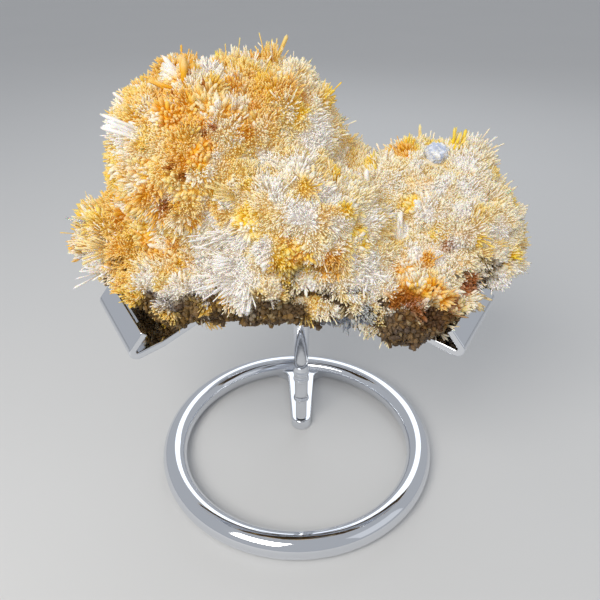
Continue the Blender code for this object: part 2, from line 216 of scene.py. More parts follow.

# Patches read in the picture for each role: across, down and radius in its pixels
PATCHES = {
    "amber": (
        (184, 70, 12), (165, 88, 11), (205, 120, 15), (176, 112, 28), (245, 131, 10), (290, 98, 15),
        (160, 198, 22), (183, 165, 11), (195, 155, 11), (135, 208, 24), (163, 245, 18), (300, 257, 10),
        (325, 263, 17), (404, 274, 16), (404, 154, 10), (250, 66, 14), (232, 90, 14), (268, 262, 12),
        (410, 292, 15), (430, 290, 11), (442, 302, 11), (396, 302, 10), (118, 262, 10), (146, 168, 12),
        (428, 262, 10), (205, 146, 10), (230, 108, 12),
    ),
    "gold": (
        (255, 223, 19), (250, 187, 8), (205, 227, 7), (127, 240, 13), (92, 212, 16), (112, 196, 14),
        (184, 268, 12), (295, 264, 26), (360, 238, 15), (410, 203, 11), (372, 168, 8), (455, 140, 13),
        (408, 150, 17), (474, 241, 7), (525, 260, 12), (511, 298, 10), (285, 284, 7), (305, 183, 8),
        (333, 180, 9), (300, 112, 20), (262, 92, 16), (218, 58, 12), (198, 156, 13), (486, 172, 9),
        (420, 285, 16), (440, 232, 10), (120, 178, 14), (325, 100, 12), (348, 210, 10), (510, 205, 9),
    ),
    "white": (
        (315, 140, 22), (290, 172, 18), (270, 160, 14), (212, 256, 26), (232, 282, 20), (215, 222, 16),
        (245, 300, 13), (172, 296, 17), (302, 215, 20), (365, 274, 24), (398, 229, 11), (439, 187, 12),
        (466, 166, 12), (458, 211, 14), (484, 233, 11), (311, 281, 12), (122, 128, 15), (168, 70, 8),
        (212, 72, 11), (88, 262, 14), (465, 190, 11), (425, 212, 12), (350, 262, 12), (277, 198, 10),
        (335, 222, 12), (478, 204, 10), (500, 228, 12), (440, 260, 9), (380, 210, 9), (198, 284, 13),
        (222, 246, 16), (200, 244, 11), (240, 262, 16), (226, 204, 10), (262, 252, 13), (250, 284, 18),
        (272, 292, 11), (238, 238, 14), (206, 292, 13), (150, 282, 12), (104, 250, 10), (325, 200, 14),
        (335, 160, 12), (128, 146, 10), (497, 278, 14), (510, 268, 10),
    ),
    "rust": (
        (202, 92, 4), (182, 177, 6), (180, 277, 5), (466, 284, 10), (396, 303, 8), (448, 247, 6),
        # Rust patches along the lower right: partly the matrix's own rust-brown, partly painted shade where
        # that corner lies in shadow
        (412, 304, 13), (427, 318, 13), (404, 318, 12), (440, 320, 13), (450, 302, 9), (462, 288, 8),
        (168, 204, 7),
        (202, 133, 5), (190, 80, 5), (172, 168, 4), (176, 92, 5), (214, 128, 4),
    ),
    # Brown stone patches along the lower edge: partly the stone's own brown, partly painted shade where the
    # lower edge lies in shadow
    "earth_and_shade": (
        (150, 304, 11), (165, 320, 18), (192, 314, 20), (215, 302, 9), (226, 320, 15), (262, 308, 10),
        (285, 314, 17), (310, 320, 15), (332, 316, 10), (392, 324, 14), (412, 336, 24), (436, 327, 18),
        (452, 336, 12), (376, 314, 7), (402, 318, 13), (428, 312, 10), (386, 306, 6), (213, 326, 10),
        (297, 326, 9), (240, 322, 9),
    ),
    # Bluish patches under the lower middle edge: painted bluish shade, partly the crystals' own bluish tint
    "shade": ((332, 320, 11), (346, 318, 13), (362, 316, 11)),
    "prism": (
        (135, 205, 22), (92, 214, 18), (178, 84, 14), (214, 54, 12), (470, 140, 14), (410, 136, 14),
        (455, 298, 18), (512, 296, 14), (404, 274, 14), (311, 281, 13), (184, 268, 14), (200, 154, 12),
        (205, 227, 8), (345, 318, 22), (398, 228, 12), (255, 223, 14), (112, 172, 14), (163, 112, 22),
        (205, 104, 20), (148, 170, 18), (186, 190, 18), (246, 122, 14), (150, 238, 18), (108, 250, 14),
        (296, 262, 18), (428, 290, 22), (414, 206, 12), (360, 238, 12), (290, 100, 12), (500, 262, 14),
    ),
    "short": ((138, 84, 22), (124, 100, 14), (512, 196, 20), (520, 216, 14), (80, 262, 12), (240, 325, 14)),
    "long": ((272, 52, 18), (292, 62, 14), (336, 100, 14), (346, 126, 14), (222, 54, 10)),
}
TINT_ROLES = ("amber", "gold", "white", "rust", "earth_and_shade", "shade")
EARTH_AND_SHADE_COLUMN, PRISM_COLUMN, SHORT_COLUMN, LONG_COLUMN = (
    list(PATCHES).index(role) for role in ("earth_and_shade", "prism", "short", "long"))
PATCH_EDGE = 0.55
PATCH_GROWTH = 1.2

# Soft noise: how many waves cross, and their lengths against the noise's own
WAVES = 7
WAVE_LENGTHS = (0.7, 1.5)

# Crystals that stand out in the picture: root and tip there, number, spread, width in mm, tint and clearness
FANS = (
    ((134, 117), (111, 95), 2, 0.02, 1.1, "amber", False),
    ((118, 102), (107, 91), 2, 0.02, 0.7, "white", False),
    ((140, 134), (99, 125), 14, 0.12, 0.6, "white", False),
    ((138, 134), (112, 113), 9, 0.12, 0.5, "white", False),
    ((220, 66), (214, 48), 8, 0.16, 0.75, "gold", False),
    ((178, 78), (159, 63), 7, 0.12, 0.65, "white", False),
    ((187, 84), (184, 58), 12, 0.2, 0.9, "amber", False),
    ((174, 94), (151, 81), 6, 0.12, 0.6, "amber", False),
    ((88, 222), (68, 217), 4, 0.12, 0.4, "white", True),
    ((100, 224), (79, 203), 10, 0.3, 0.55, "gold", False),
    ((112, 250), (72, 243), 26, 0.26, 0.3, "cream", False),
    ((112, 268), (78, 276), 26, 0.26, 0.3, "white", False),
    ((238, 262), (192, 262), 46, 0.24, 0.22, "white", False),
    ((234, 234), (188, 238), 30, 0.22, 0.2, "white", False),
    ((242, 198), (196, 190), 34, 0.22, 0.2, "cream", False),
    ((238, 280), (204, 296), 30, 0.24, 0.24, "white", False),
    ((248, 284), (246, 311), 34, 0.26, 0.24, "white", False),
    ((366, 272), (340, 268), 34, 0.34, 0.24, "white", False),
    ((366, 272), (352, 293), 30, 0.34, 0.24, "white", False),
    ((366, 272), (386, 288), 30, 0.34, 0.24, "white", False),
    ((366, 272), (368, 252), 24, 0.34, 0.24, "white", False),
    ((450, 152), (460, 129), 14, 0.26, 0.5, "gold", False),
    ((411, 146), (408, 128), 4, 0.16, 0.75, "cream", False),
    ((421, 146), (419, 129), 3, 0.14, 0.65, "cream", False),
    ((468, 152), (473, 138), 10, 0.24, 0.5, "cream", False),
    ((367, 194), (362, 170), 7, 0.12, 0.6, "white", False),
    ((398, 243), (398, 213), 18, 0.13, 0.45, "white", False),
    ((463, 313), (449, 289), 8, 0.14, 0.7, "cream", True),
    ((372, 176), (372, 160), 5, 0.2, 0.8, "gold", False),
)

# Strength of the painted glow: emission that stands in for the light reaching the crystals' feet through the
# crystals around them
PAINTED_FOOT_GLOW = 0.15

# Floor and soft lights: place, size, power against the key light's, colour
FLOOR_RADIUS = 3.0
LIGHTS = {
    "key": ((-0.11, -0.18, 0.24), 0.16, 1.0, (1.0, 0.97, 0.91)),
    "fill": ((0.24, -0.14, 0.16), 0.20, 0.06, (0.95, 0.97, 1.0)),
    "rim": ((0.05, 0.26, 0.26), 0.22, 0.3, (0.90, 0.95, 1.0)),
}
SKY_COLOUR = (0.92, 0.95, 1.0, 1.0)
SKY_STRENGTH = 0.5

# Corners and faces of a fine crystal and of a stout one, and how far along each corner is
SPLINTER_FACES = ((0, 2, 1), (0, 3, 2), (0, 4, 3), (0, 1, 4), (1, 2, 5), (2, 3, 5), (3, 4, 5), (4, 1, 5))
SPLINTER_RISE = (0.0, 0.8, 0.8, 0.8, 0.8, 1.0)
PRISM_FACES = ((3, 2, 1, 0), (0, 1, 5, 4), (1, 2, 6, 5), (2, 3, 7, 6), (3, 0, 4, 7),
               (4, 5, 9, 8), (6, 7, 8, 9), (5, 6, 9), (7, 4, 8))
PRISM_RISE = (0.0, 0.0, 0.0, 0.0, 0.8, 0.8, 0.8, 0.8, 1.0, 1.0)

# Pale rounded crystal knot on the right shoulder, by its middle in the picture
KNOT_SPOT = (436, 154)
KNOT_HALVES = (2.1 * MM, 1.7 * MM, 1.9 * MM)
KNOT_RISE = 3.2 * MM
KNOT_ROOM = 2.1 * MM

# Stand
GAP = 0.3 * MM
RING_DIAMETER = 60.0 * MM
BAR_DIAMETER = 5.2 * MM
FOOT_FLAT_DEPTH = 0.3 * MM
TONGUE_HEIGHT = 2.6 * MM
TONGUE_LIFT = 0.03 * MM
TONGUE_TIP_RADIUS = 2.3 * MM
TONGUE_TIP_SET_BACK = 0.5 * MM
TONGUE_ROOT_HALF_WIDTH = 3.3 * MM
TONGUE_FLARE = 3.0 * MM
POST_FOOT_RADIUS = 1.3 * MM
POST_BEAD_RADIUS = 1.8 * MM
POST_WAIST_RADIUS = 1.5 * MM
POST_TOP_RADIUS = 2.2 * MM
POST_BEAD_HEIGHTS = (8.8 * MM, 14.6 * MM, 16.4 * MM)
POST_BEAD_HALF_HEIGHT = 0.8 * MM
HUB_EDGE = 0.8 * MM
ARM_THICKNESS = 1.3 * MM
ARM_HALF_WIDTH = 9.5 * MM
ARM_ROOT_HALF_WIDTH = 4.0 * MM
ARM_SLOPE = math.radians(12)
ARM_BEND_HEIGHT = 40.9 * MM
LIP_LEAN_IN = 4.0 * MM
LIP_RISE = 4.6 * MM
BEND_RADIUS = 0.9 * MM
POST_FOOT_EDGE = 0.15 * MM
ARM_SHOULDER = 7.0 * MM
ARM_REACHES = {
    "arm_left": (math.radians(210), 39.2 * MM),
    "arm_right": (math.radians(330), 37.6 * MM),
    "arm_back": (math.radians(90), 22.5 * MM),
}


def node_middle(node):
    """The middle of a CAD node's box."""
    low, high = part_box(node)
    return (low + high) / 2


RING_CENTRE = node_middle("ring_base")
POST_AXIS = node_middle("post")
HUB_LOW, HUB_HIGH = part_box("hub")
HUB_RADIUS = (HUB_HIGH.x - HUB_LOW.x) / 2


class Value:
    """A shader socket that sums and products can be written with."""

    def __init__(self, finish, socket):
        self.finish = finish
        self.socket = socket

    def maths(self, operation, first, second=None):
        """A Math node of this operation on one or two values."""
        sockets = {0: first} if second is None else {0: first, 1: second}
        node = self.finish.node("ShaderNodeMath", {"operation": operation}, sockets)
        return Value(self.finish, node.outputs[0])

    def __add__(self, other):
        return self.maths("ADD", self, other)

    __radd__ = __add__

    def __mul__(self, other):
        return self.maths("MULTIPLY", self, other)

    __rmul__ = __mul__

    def __sub__(self, other):
        return self.maths("SUBTRACT", self, other)

    def __rsub__(self, other):
        return self.maths("SUBTRACT", other, self)

    def clamped(self):
        """The value held between 0 and 1."""
        return self.maths("MINIMUM", self.maths("MAXIMUM", self, 0.0), 1.0)


class Finish:
    """A material in the making: its node tree and the Principled shader at its end."""

    def __init__(self, name):
        self.material = bpy.data.materials.new(name)
        self.material.use_nodes = True
        self.tree = self.material.node_tree
        self.shader = self.tree.nodes["Principled BSDF"]

    def node(self, kind, settings=None, sockets=None):
        """Adds a node of a type: its settings first, then its sockets' values or links."""
        made = self.tree.nodes.new(kind)
        for name, value in (settings or {}).items():
            setattr(made, name, value)
        for name, value in (sockets or {}).items():
            self.feed(made.inputs[name], value)
        return made

    def feed(self, socket, value):
        """Links a value to a socket, or sets the socket's own number or colour."""
        if isinstance(value, Value):
            self.tree.links.new(value.socket, socket)
        elif isinstance(value, bpy.types.NodeSocket):
            self.tree.links.new(value, socket)
        elif hasattr(value, "__len__") and len(value) == 3 and socket.type == "RGBA":
            socket.default_value = (*value, 1.0)
        else:
            socket.default_value = value

    def attribute(self, name):
        """A number kept on the mesh."""
        return Value(self, self.node("ShaderNodeAttribute", {"attribute_name": name}).outputs["Fac"])

    def noise(self, scale, detail=2.0, roughness=0.5, stretch=None):
        """Noise between 0 and 1 with features of about 1 / scale metres."""
        place = self.node("ShaderNodeTexCoord").outputs["Object"]
        if stretch:
            place = self.node("ShaderNodeMapping", None, {"Vector": place, "Scale": stretch}).outputs[0]
        sockets = {"Vector": place, "Scale": scale, "Detail": detail, "Roughness": roughness}
        return Value(self, self.node("ShaderNodeTexNoise", None, sockets).outputs["Fac"])

    def step(self, value, low, high):
        """0 below low and 1 above high, with a smooth rise between."""
        sockets = {"Value": value, "From Min": low, "From Max": high}
        node = self.node("ShaderNodeMapRange", {"interpolation_type": "SMOOTHSTEP"}, sockets)
        return Value(self, node.outputs[0])

    def mix(self, share, first, second):
        """A colour between two colours."""
        node = self.node("ShaderNodeMix", {"data_type": "RGBA"}, {0: share, 6: first, 7: second})
        return node.outputs[2]

    def bump(self, height, strength, distance):
        """Feeds a bump from a height to the shader's normal."""
        sockets = {"Height": height, "Strength": strength, "Distance": distance}
        self.feed(self.shader.inputs["Normal"], self.node("ShaderNodeBump", None, sockets).outputs[0])

    def set(self, **values):
        """Sets or links the shader's sockets, with _ for a space in a socket's name."""
        for name, value in values.items():
            self.feed(self.shader.inputs[name.replace("_", " ")], value)


def colour_setting(name, description, default):
    """A colour property."""
    return FloatVectorProperty(
        name=name, description=description, subtype="COLOR", default=default, min=0.0, max=1.0)


def size_setting(name, description, default, low, high):
    """A length property, in metres."""
    return FloatProperty(
        name=name, description=description, unit="LENGTH", default=default, min=low, max=high)


class CrystalColours(bpy.types.PropertyGroup):
    """Colours of the cluster's zones."""

    cream: colour_setting("Cream", "Ground colour of the needles", (0.94, 0.81, 0.42))
    amber: colour_setting("Amber", "Strong orange of the left dome", (0.88, 0.47, 0.02))
    gold: colour_setting("Gold", "Yellow patches between the sprays", (0.94, 0.68, 0.03))
    white: colour_setting("White", "Pale, slightly blue needles", (0.95, 0.95, 0.97))
    rust: colour_setting("Rust", "Red-brown specks", (0.38, 0.10, 0.015))
    # Very dark brown of the lower edge and underside: partly the stone's own colour, partly painted shade
    earth_and_shade: colour_setting("Earth", "Brown stone along the lower edge", (0.085, 0.045, 0.02))


class CrystalSizes(bpy.types.PropertyGroup):
    """Sizes and numbers of the crystals."""

    needle_width: size_setting("Needle width", "Width of a common needle", 0.195 * MM, 0.1 * MM, 1.0 * MM)
    tip_spacing: size_setting(
        "Tip spacing", "Distance between needles in a fine spray", 0.22 * MM, 0.15 * MM, 2.0 * MM)
    clear_count: IntProperty(
        name="Clear crystals", description="Number of larger clear crystals among the needles",
        default=1200, min=0, max=4000)


class StandLooks(bpy.types.PropertyGroup):
    """Finish of the polished stand."""

    metal: colour_setting("Metal", "Colour of the polished metal", (0.78, 0.80, 0.84))
    edge: size_setting("Edge rounding", "Radius of the bands' worn edges", 0.3 * MM, 0.05 * MM, 0.6 * MM)


class StudioLooks(bpy.types.PropertyGroup):
    """Floor and lights."""

    floor: colour_setting("Floor", "Colour of the plain floor", (0.68, 0.68, 0.68))
    key: FloatProperty(
        name="Key light", description="Power of the large soft light", unit="POWER",
        default=0.56, min=0.0, max=20.0)


def add_mesh_object(name, mesh):
    """Links a mesh as a named object."""
    item = bpy.data.objects.new(name, mesh)
    bpy.context.scene.collection.objects.link(item)
    return item


def finish_piece(item, material, slot, *nodes):
    """Gives a piece its material, parents it to the root body and hides the CAD nodes it stands in for."""
    item.data.materials.clear()
    item.data.materials.append(material)
    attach(item, "root")
    if nodes:
        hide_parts(*nodes)


def apply_modifiers(item):
    """Turns what the modifiers make into the object's own mesh."""
    bpy.context.view_layer.update()
    shape = item.evaluated_get(bpy.context.evaluated_depsgraph_get())
    mesh = bpy.data.meshes.new_from_object(shape)
    old = item.data
    item.modifiers.clear()
    item.data = mesh
    bpy.data.meshes.remove(old)
    return item


def mesh_arrays(mesh):
    """Corner places and triangles of a mesh as arrays."""
    mesh.calc_loop_triangles()
    places = np.empty(len(mesh.vertices) * 3)
    mesh.vertices.foreach_get("co", places)
    corners = np.empty(len(mesh.loop_triangles) * 3, np.int32)
    mesh.loop_triangles.foreach_get("vertices", corners)
    return places.reshape(-1, 3), corners.reshape(-1, 3)


def tree_of(*names):
    """A search tree over the CAD nodes' surfaces."""
    places, corners, count = [], [], 0
    for name in names:
        points, triangles = mesh_arrays(frame["nodes"][name].data)
        places.append(points)
        corners.append(triangles + count)
        count += len(points)
    return BVHTree.FromPolygons(np.vstack(places).tolist(), np.vstack(corners).tolist())


def add_numbers(mesh, name, values):
    """Keeps a number for each corner of the mesh under a name."""
    mesh.attributes.new(name, "FLOAT", "POINT").data.foreach_set("value", values.astype(np.float32))


def smooth_noise(points, scale, seed):
    """Soft noise between -1 and 1 at many points: a few crossed waves of one size."""
    chance = np.random.default_rng(seed)
    total = np.zeros(len(points))
    for _ in range(WAVES):
        way = chance.normal(size=3)
        way /= np.linalg.norm(way)
        length = scale * chance.uniform(*WAVE_LENGTHS)
        total += np.sin(points @ way * 2 * math.pi / length + chance.uniform(0, 6.28))
    return total / math.sqrt(WAVES)


def cut_clear(item, node):
    """Cuts an object clear of a CAD piece of the stand, with a little room around it."""
    bm = bmesh.new()
    bm.from_mesh(frame["nodes"][node].data)
    bmesh.ops.remove_doubles(bm, verts=bm.verts, dist=0.001 * MM)
    bmesh.ops.recalc_face_normals(bm, faces=bm.faces)
    bm.normal_update()
    moves = [corner.normal * STAND_ROOM for corner in bm.verts]
    for corner, move in zip(bm.verts, moves):
        corner.co += move
    cutter = bmesh_object("cutter", bm, math.radians(30))
    cut = item.modifiers.new("cut", "BOOLEAN")
    cut.operation = "DIFFERENCE"
    cut.solver = "EXACT"
    cut.object = cutter
    apply_modifiers(item)
    bpy.data.objects.remove(cutter)


def drop_chips(mesh):
    """Keeps only the largest of a mesh's loose parts."""
    bm = bmesh.new()
    bm.from_mesh(mesh)
    bmesh.ops.dissolve_degenerate(bm, edges=bm.edges, dist=0.005 * MM)
    parts, left = [], set(bm.verts)
    while left:
        edge_of_part = [left.pop()]
        part = set(edge_of_part)
        while edge_of_part:
            corner = edge_of_part.pop()
            for edge in corner.link_edges:
                other = edge.other_vert(corner)
                if other in left:
                    left.remove(other)
                    part.add(other)
                    edge_of_part.append(other)
        parts.append(part)
    largest = max(parts, key=len)
    bmesh.ops.delete(bm, geom=[corner for corner in bm.verts if corner not in largest], context="VERTS")
    bm.to_mesh(mesh)
    bm.free()


def grow_stone():
    """The grown-together stone: the lobes made one, then held inside the CAD solid."""
    bm = bmesh.new()
    shift = POST_AXIS.x - POST_X
    for centre, halves in LOBES.values():
        place = Matrix.Translation(Vector(centre) * MM + Vector((shift, 0.0, 0.0)))
        scale = Matrix.Diagonal((*(half * MM + VALLEY_FILL for half in halves), 1.0))
        bmesh.ops.create_icosphere(bm, subdivisions=4, radius=1.0, matrix=place @ scale)
    mesh = bpy.data.meshes.new("cluster_stone")
    bm.to_mesh(mesh)
    bm.free()
    stone = add_mesh_object("cluster_stone", mesh)
    fuse = stone.modifiers.new("fuse", "REMESH")
    fuse.mode = "VOXEL"
    fuse.voxel_size = STONE_VOXEL
    blend = stone.modifiers.new("blend", "SMOOTH")
    blend.factor = 0.6
    blend.iterations = VALLEY_SMOOTHING
    apply_modifiers(stone)
    places, _ = mesh_arrays(stone.data)
    normals = np.empty(places.size)
    stone.data.vertices.foreach_get("normal", normals)
    lumps = smooth_noise(places, LUMP_SIZE, 12) * LUMP_HEIGHT
    lumps += smooth_noise(places, SMALL_LUMP_SIZE, 13) * SMALL_LUMP_HEIGHT
    places += normals.reshape(-1, 3) * (lumps + STONE_GROWTH - VALLEY_FILL)[:, None]
    stone.data.vertices.foreach_set("co", places.ravel())
    hold = stone.modifiers.new("hold", "SHRINKWRAP")
    hold.target = frame["nodes"][CLUSTER_NODE]
    hold.wrap_method = "NEAREST_SURFACEPOINT"
    hold.wrap_mode = "INSIDE"
    hold.offset = STONE_MARGIN
    soften = stone.modifiers.new("soften", "SMOOTH")
    soften.factor = 0.5
    soften.iterations = STONE_SMOOTHING
    apply_modifiers(stone)
    for node in ARM_NODES:
        cut_clear(stone, node)
    drop_chips(stone.data)
    places, corners = mesh_arrays(stone.data)
    normals = np.empty(places.size)
    stone.data.vertices.foreach_get("normal", normals)
    tree = BVHTree.FromPolygons(places.tolist(), corners.tolist())
    tints = zone_shares(places, normals.reshape(-1, 3), tree)
    for index, role in enumerate(TINT_ROLES):
        add_numbers(stone.data, role, tints[:, index])
    return stone


def surface_samples(mesh, count, chance):
    """Points spread by area over a mesh, with the surface's normals there."""
    places, corners = mesh_arrays(mesh)
    first, second, third = places[corners].transpose(1, 0, 2)
    cross = np.cross(second - first, third - first)
    area = np.linalg.norm(cross, axis=1)
    picked = chance.choice(len(area), count, p=area / area.sum())
    along, across = chance.random((2, count, 1))
    folded = along + across > 1
    along = np.where(folded, 1 - along, along)
    across = np.where(folded, 1 - across, across)
    points = first[picked] + (second - first)[picked] * along + (third - first)[picked] * across
    return points, cross[picked] / area[picked, None]


def spread_out(points, rooms):
    """Indices of points kept so that none is nearer to an earlier one than its own room."""
    kept = []
    for index, (point, room) in enumerate(zip(points, rooms)):
        if not kept or ((points[kept] - point) ** 2).sum(1).min() > room * room:
            kept.append(index)
    return np.array(kept)


def thin_out(points, spacing):
    """Indices of points kept, one for each small cube of space that holds any."""
    cubes = np.floor(points / (spacing * CUBE_SHARE)).astype(np.int64)
    keys = (cubes[:, 0] * 100003 + cubes[:, 1]) * 100003 + cubes[:, 2]
    return np.unique(keys, return_index=True)[1]


def plan_sprays(stone, spacing, depth, chance):
    """Sprays over the whole stone: middle, radius, and the focus under the surface they point from."""
    low, high = spacing
    trials = int(SPRAY_TRIALS * (SPRAY_SPACING[0] / low) ** 2)
    points, ways = surface_samples(stone.data, trials, chance)
    rooms = low + (high - low) * chance.random(len(points)) ** ROOM_BIAS
    kept = spread_out(points, rooms)
    focus = points[kept] - ways[kept] * chance.uniform(*depth, len(kept))[:, None]
    return {"middle": points[kept], "radius": rooms[kept] * SPRAY_FILL, "focus": focus}


def nearest_spray(points, sprays):
    """Index of the spray that each point belongs to, and how far out in it the point is."""
    finder = KDTree(len(sprays["middle"]))
    for index, middle in enumerate(sprays["middle"]):
        finder.insert(middle, index)
    finder.balance()
    found = [finder.find(point) for point in points]
    group = np.array([index for _, index, _ in found])
    far = np.array([distance for _, _, distance in found]) / sprays["radius"][group]
    return group, np.minimum(far, 1.5)


def picture_ray(across, down):
    """The way from the camera through a place in the picture, one unit deep."""
    scale = CAMERA_LENS / CAMERA_SENSOR * PICTURE_SIZE
    x, y = (across - PICTURE_SIZE / 2) / scale, (PICTURE_SIZE / 2 - down) / scale
    cosine, sine = math.cos(CAMERA_PITCH), math.sin(CAMERA_PITCH)
    return Vector((x, cosine + y * sine, y * cosine - sine))


def picture_spot(tree, across, down):
    """Where a place in the picture lies on a surface, and its depth from the camera.

    A place just outside the surface's outline is moved towards the cluster's middle until it meets it.
    """
    eye = Vector(CAMERA_PLACE)
    inner_across, inner_down = CLUSTER_SPOT
    for step in range(SPOT_STEPS):
        share = step / SPOT_STEPS
        ray = picture_ray(across + (inner_across - across) * share, down + (inner_down - down) * share)
        hit = tree.ray_cast(eye, ray.normalized())
        if hit[0] is not None:
            return hit[0], (hit[0] - eye).dot(picture_ray(*PICTURE_MIDDLE).normalized())
    raise RuntimeError(f"nothing lies under the picture place {across}, {down}")


def patch_weights(points, tree):
    """How far each point is in the patches of each role, from 0 to 1, with ragged edges."""
    wobble = smooth_noise(points, 5 * MM, 5) * 0.18 + smooth_noise(points, 1.7 * MM, 6) * 0.12
    weights = {}
    for role, patches in PATCHES.items():
        weights[role] = np.zeros(len(points))
        for across, down, radius in patches:
            spot, depth = picture_spot(tree, across, down)
            reach = radius * depth / PICTURE_SIZE * PATCH_GROWTH
            far = np.linalg.norm(points - np.array(spot), axis=1) / reach + wobble
            share = np.clip((1 - far) / (1 - PATCH_EDGE), 0, 1)
            weights[role] = np.maximum(weights[role], share * share * (3 - 2 * share))
    return weights


def zone_shares(points, normals, tree):
    """The share of each colour role at points of the stone, from the patches and from soft noise."""
    patches = patch_weights(points, tree)
    left = np.clip((-4 * MM - points[:, 0]) / (12 * MM), 0, 1)
    right = np.clip((points[:, 0] - 6 * MM) / (20 * MM), 0, 1)
    soft = smooth_noise(points, 16 * MM, 1)
    fine = smooth_noise(points, 6 * MM, 2)
    grain = smooth_noise(points, 1.6 * MM, 3)
    amber = 0.12 + 0.24 * left - 0.10 * right + 0.16 * soft + 0.14 * fine + 0.10 * grain
    gold = 0.20 + 0.30 * left - 0.12 * right + 0.16 * smooth_noise(points, 9 * MM, 3) + 0.12 * grain
    cloud = smooth_noise(points, 7 * MM, 4)
    white = 0.20 - 0.25 * left + 0.20 * right - 0.16 * soft + 0.22 * cloud - 0.12 * grain
    rust = 0.5 * np.clip(smooth_noise(points, 3.0 * MM, 8) - 1.5, 0, 1)
    # Downward faces low on the cluster get the dark brown: partly the stone's own colour, partly painted
    # shade on the underside
    low, high = EARTH_AND_SHADE_SLOPE
    ragged = np.clip(smooth_noise(points, 4 * MM, 15), -1, 1) * EARTH_RAGGED
    earth_and_shade = np.clip((-normals[:, 2] + ragged - low) / (high - low), 0, 1)
    earth_and_shade *= np.clip((EARTH_AND_SHADE_TOP - points[:, 2]) / EARTH_AND_SHADE_FADE, 0, 1)
    shares = np.column_stack((
        np.maximum(amber * (1 - patches["white"]), patches["amber"]),
        np.maximum(gold * (1 - patches["white"]), patches["gold"] * 0.95),
        np.maximum(white * (1 - np.maximum(patches["amber"], patches["gold"])), patches["white"]),
        np.maximum(rust, patches["rust"]),
        np.maximum(earth_and_shade * (1 - patches["white"]), patches["earth_and_shade"]),
        patches["shade"],
        patches["prism"], patches["short"], patches["long"],
    ))
    return np.clip(shares, 0, 1)


def unit(ways):
    """Each row made one long."""
    return ways / np.linalg.norm(ways, axis=1)[:, None]


def knot_place(tree):
    """The pale knot's middle and the way from there to the camera."""
    spot, _ = picture_spot(tree, *KNOT_SPOT)
    towards = (Vector(CAMERA_PLACE) - spot).normalized()
    return spot + towards * KNOT_RISE, towards


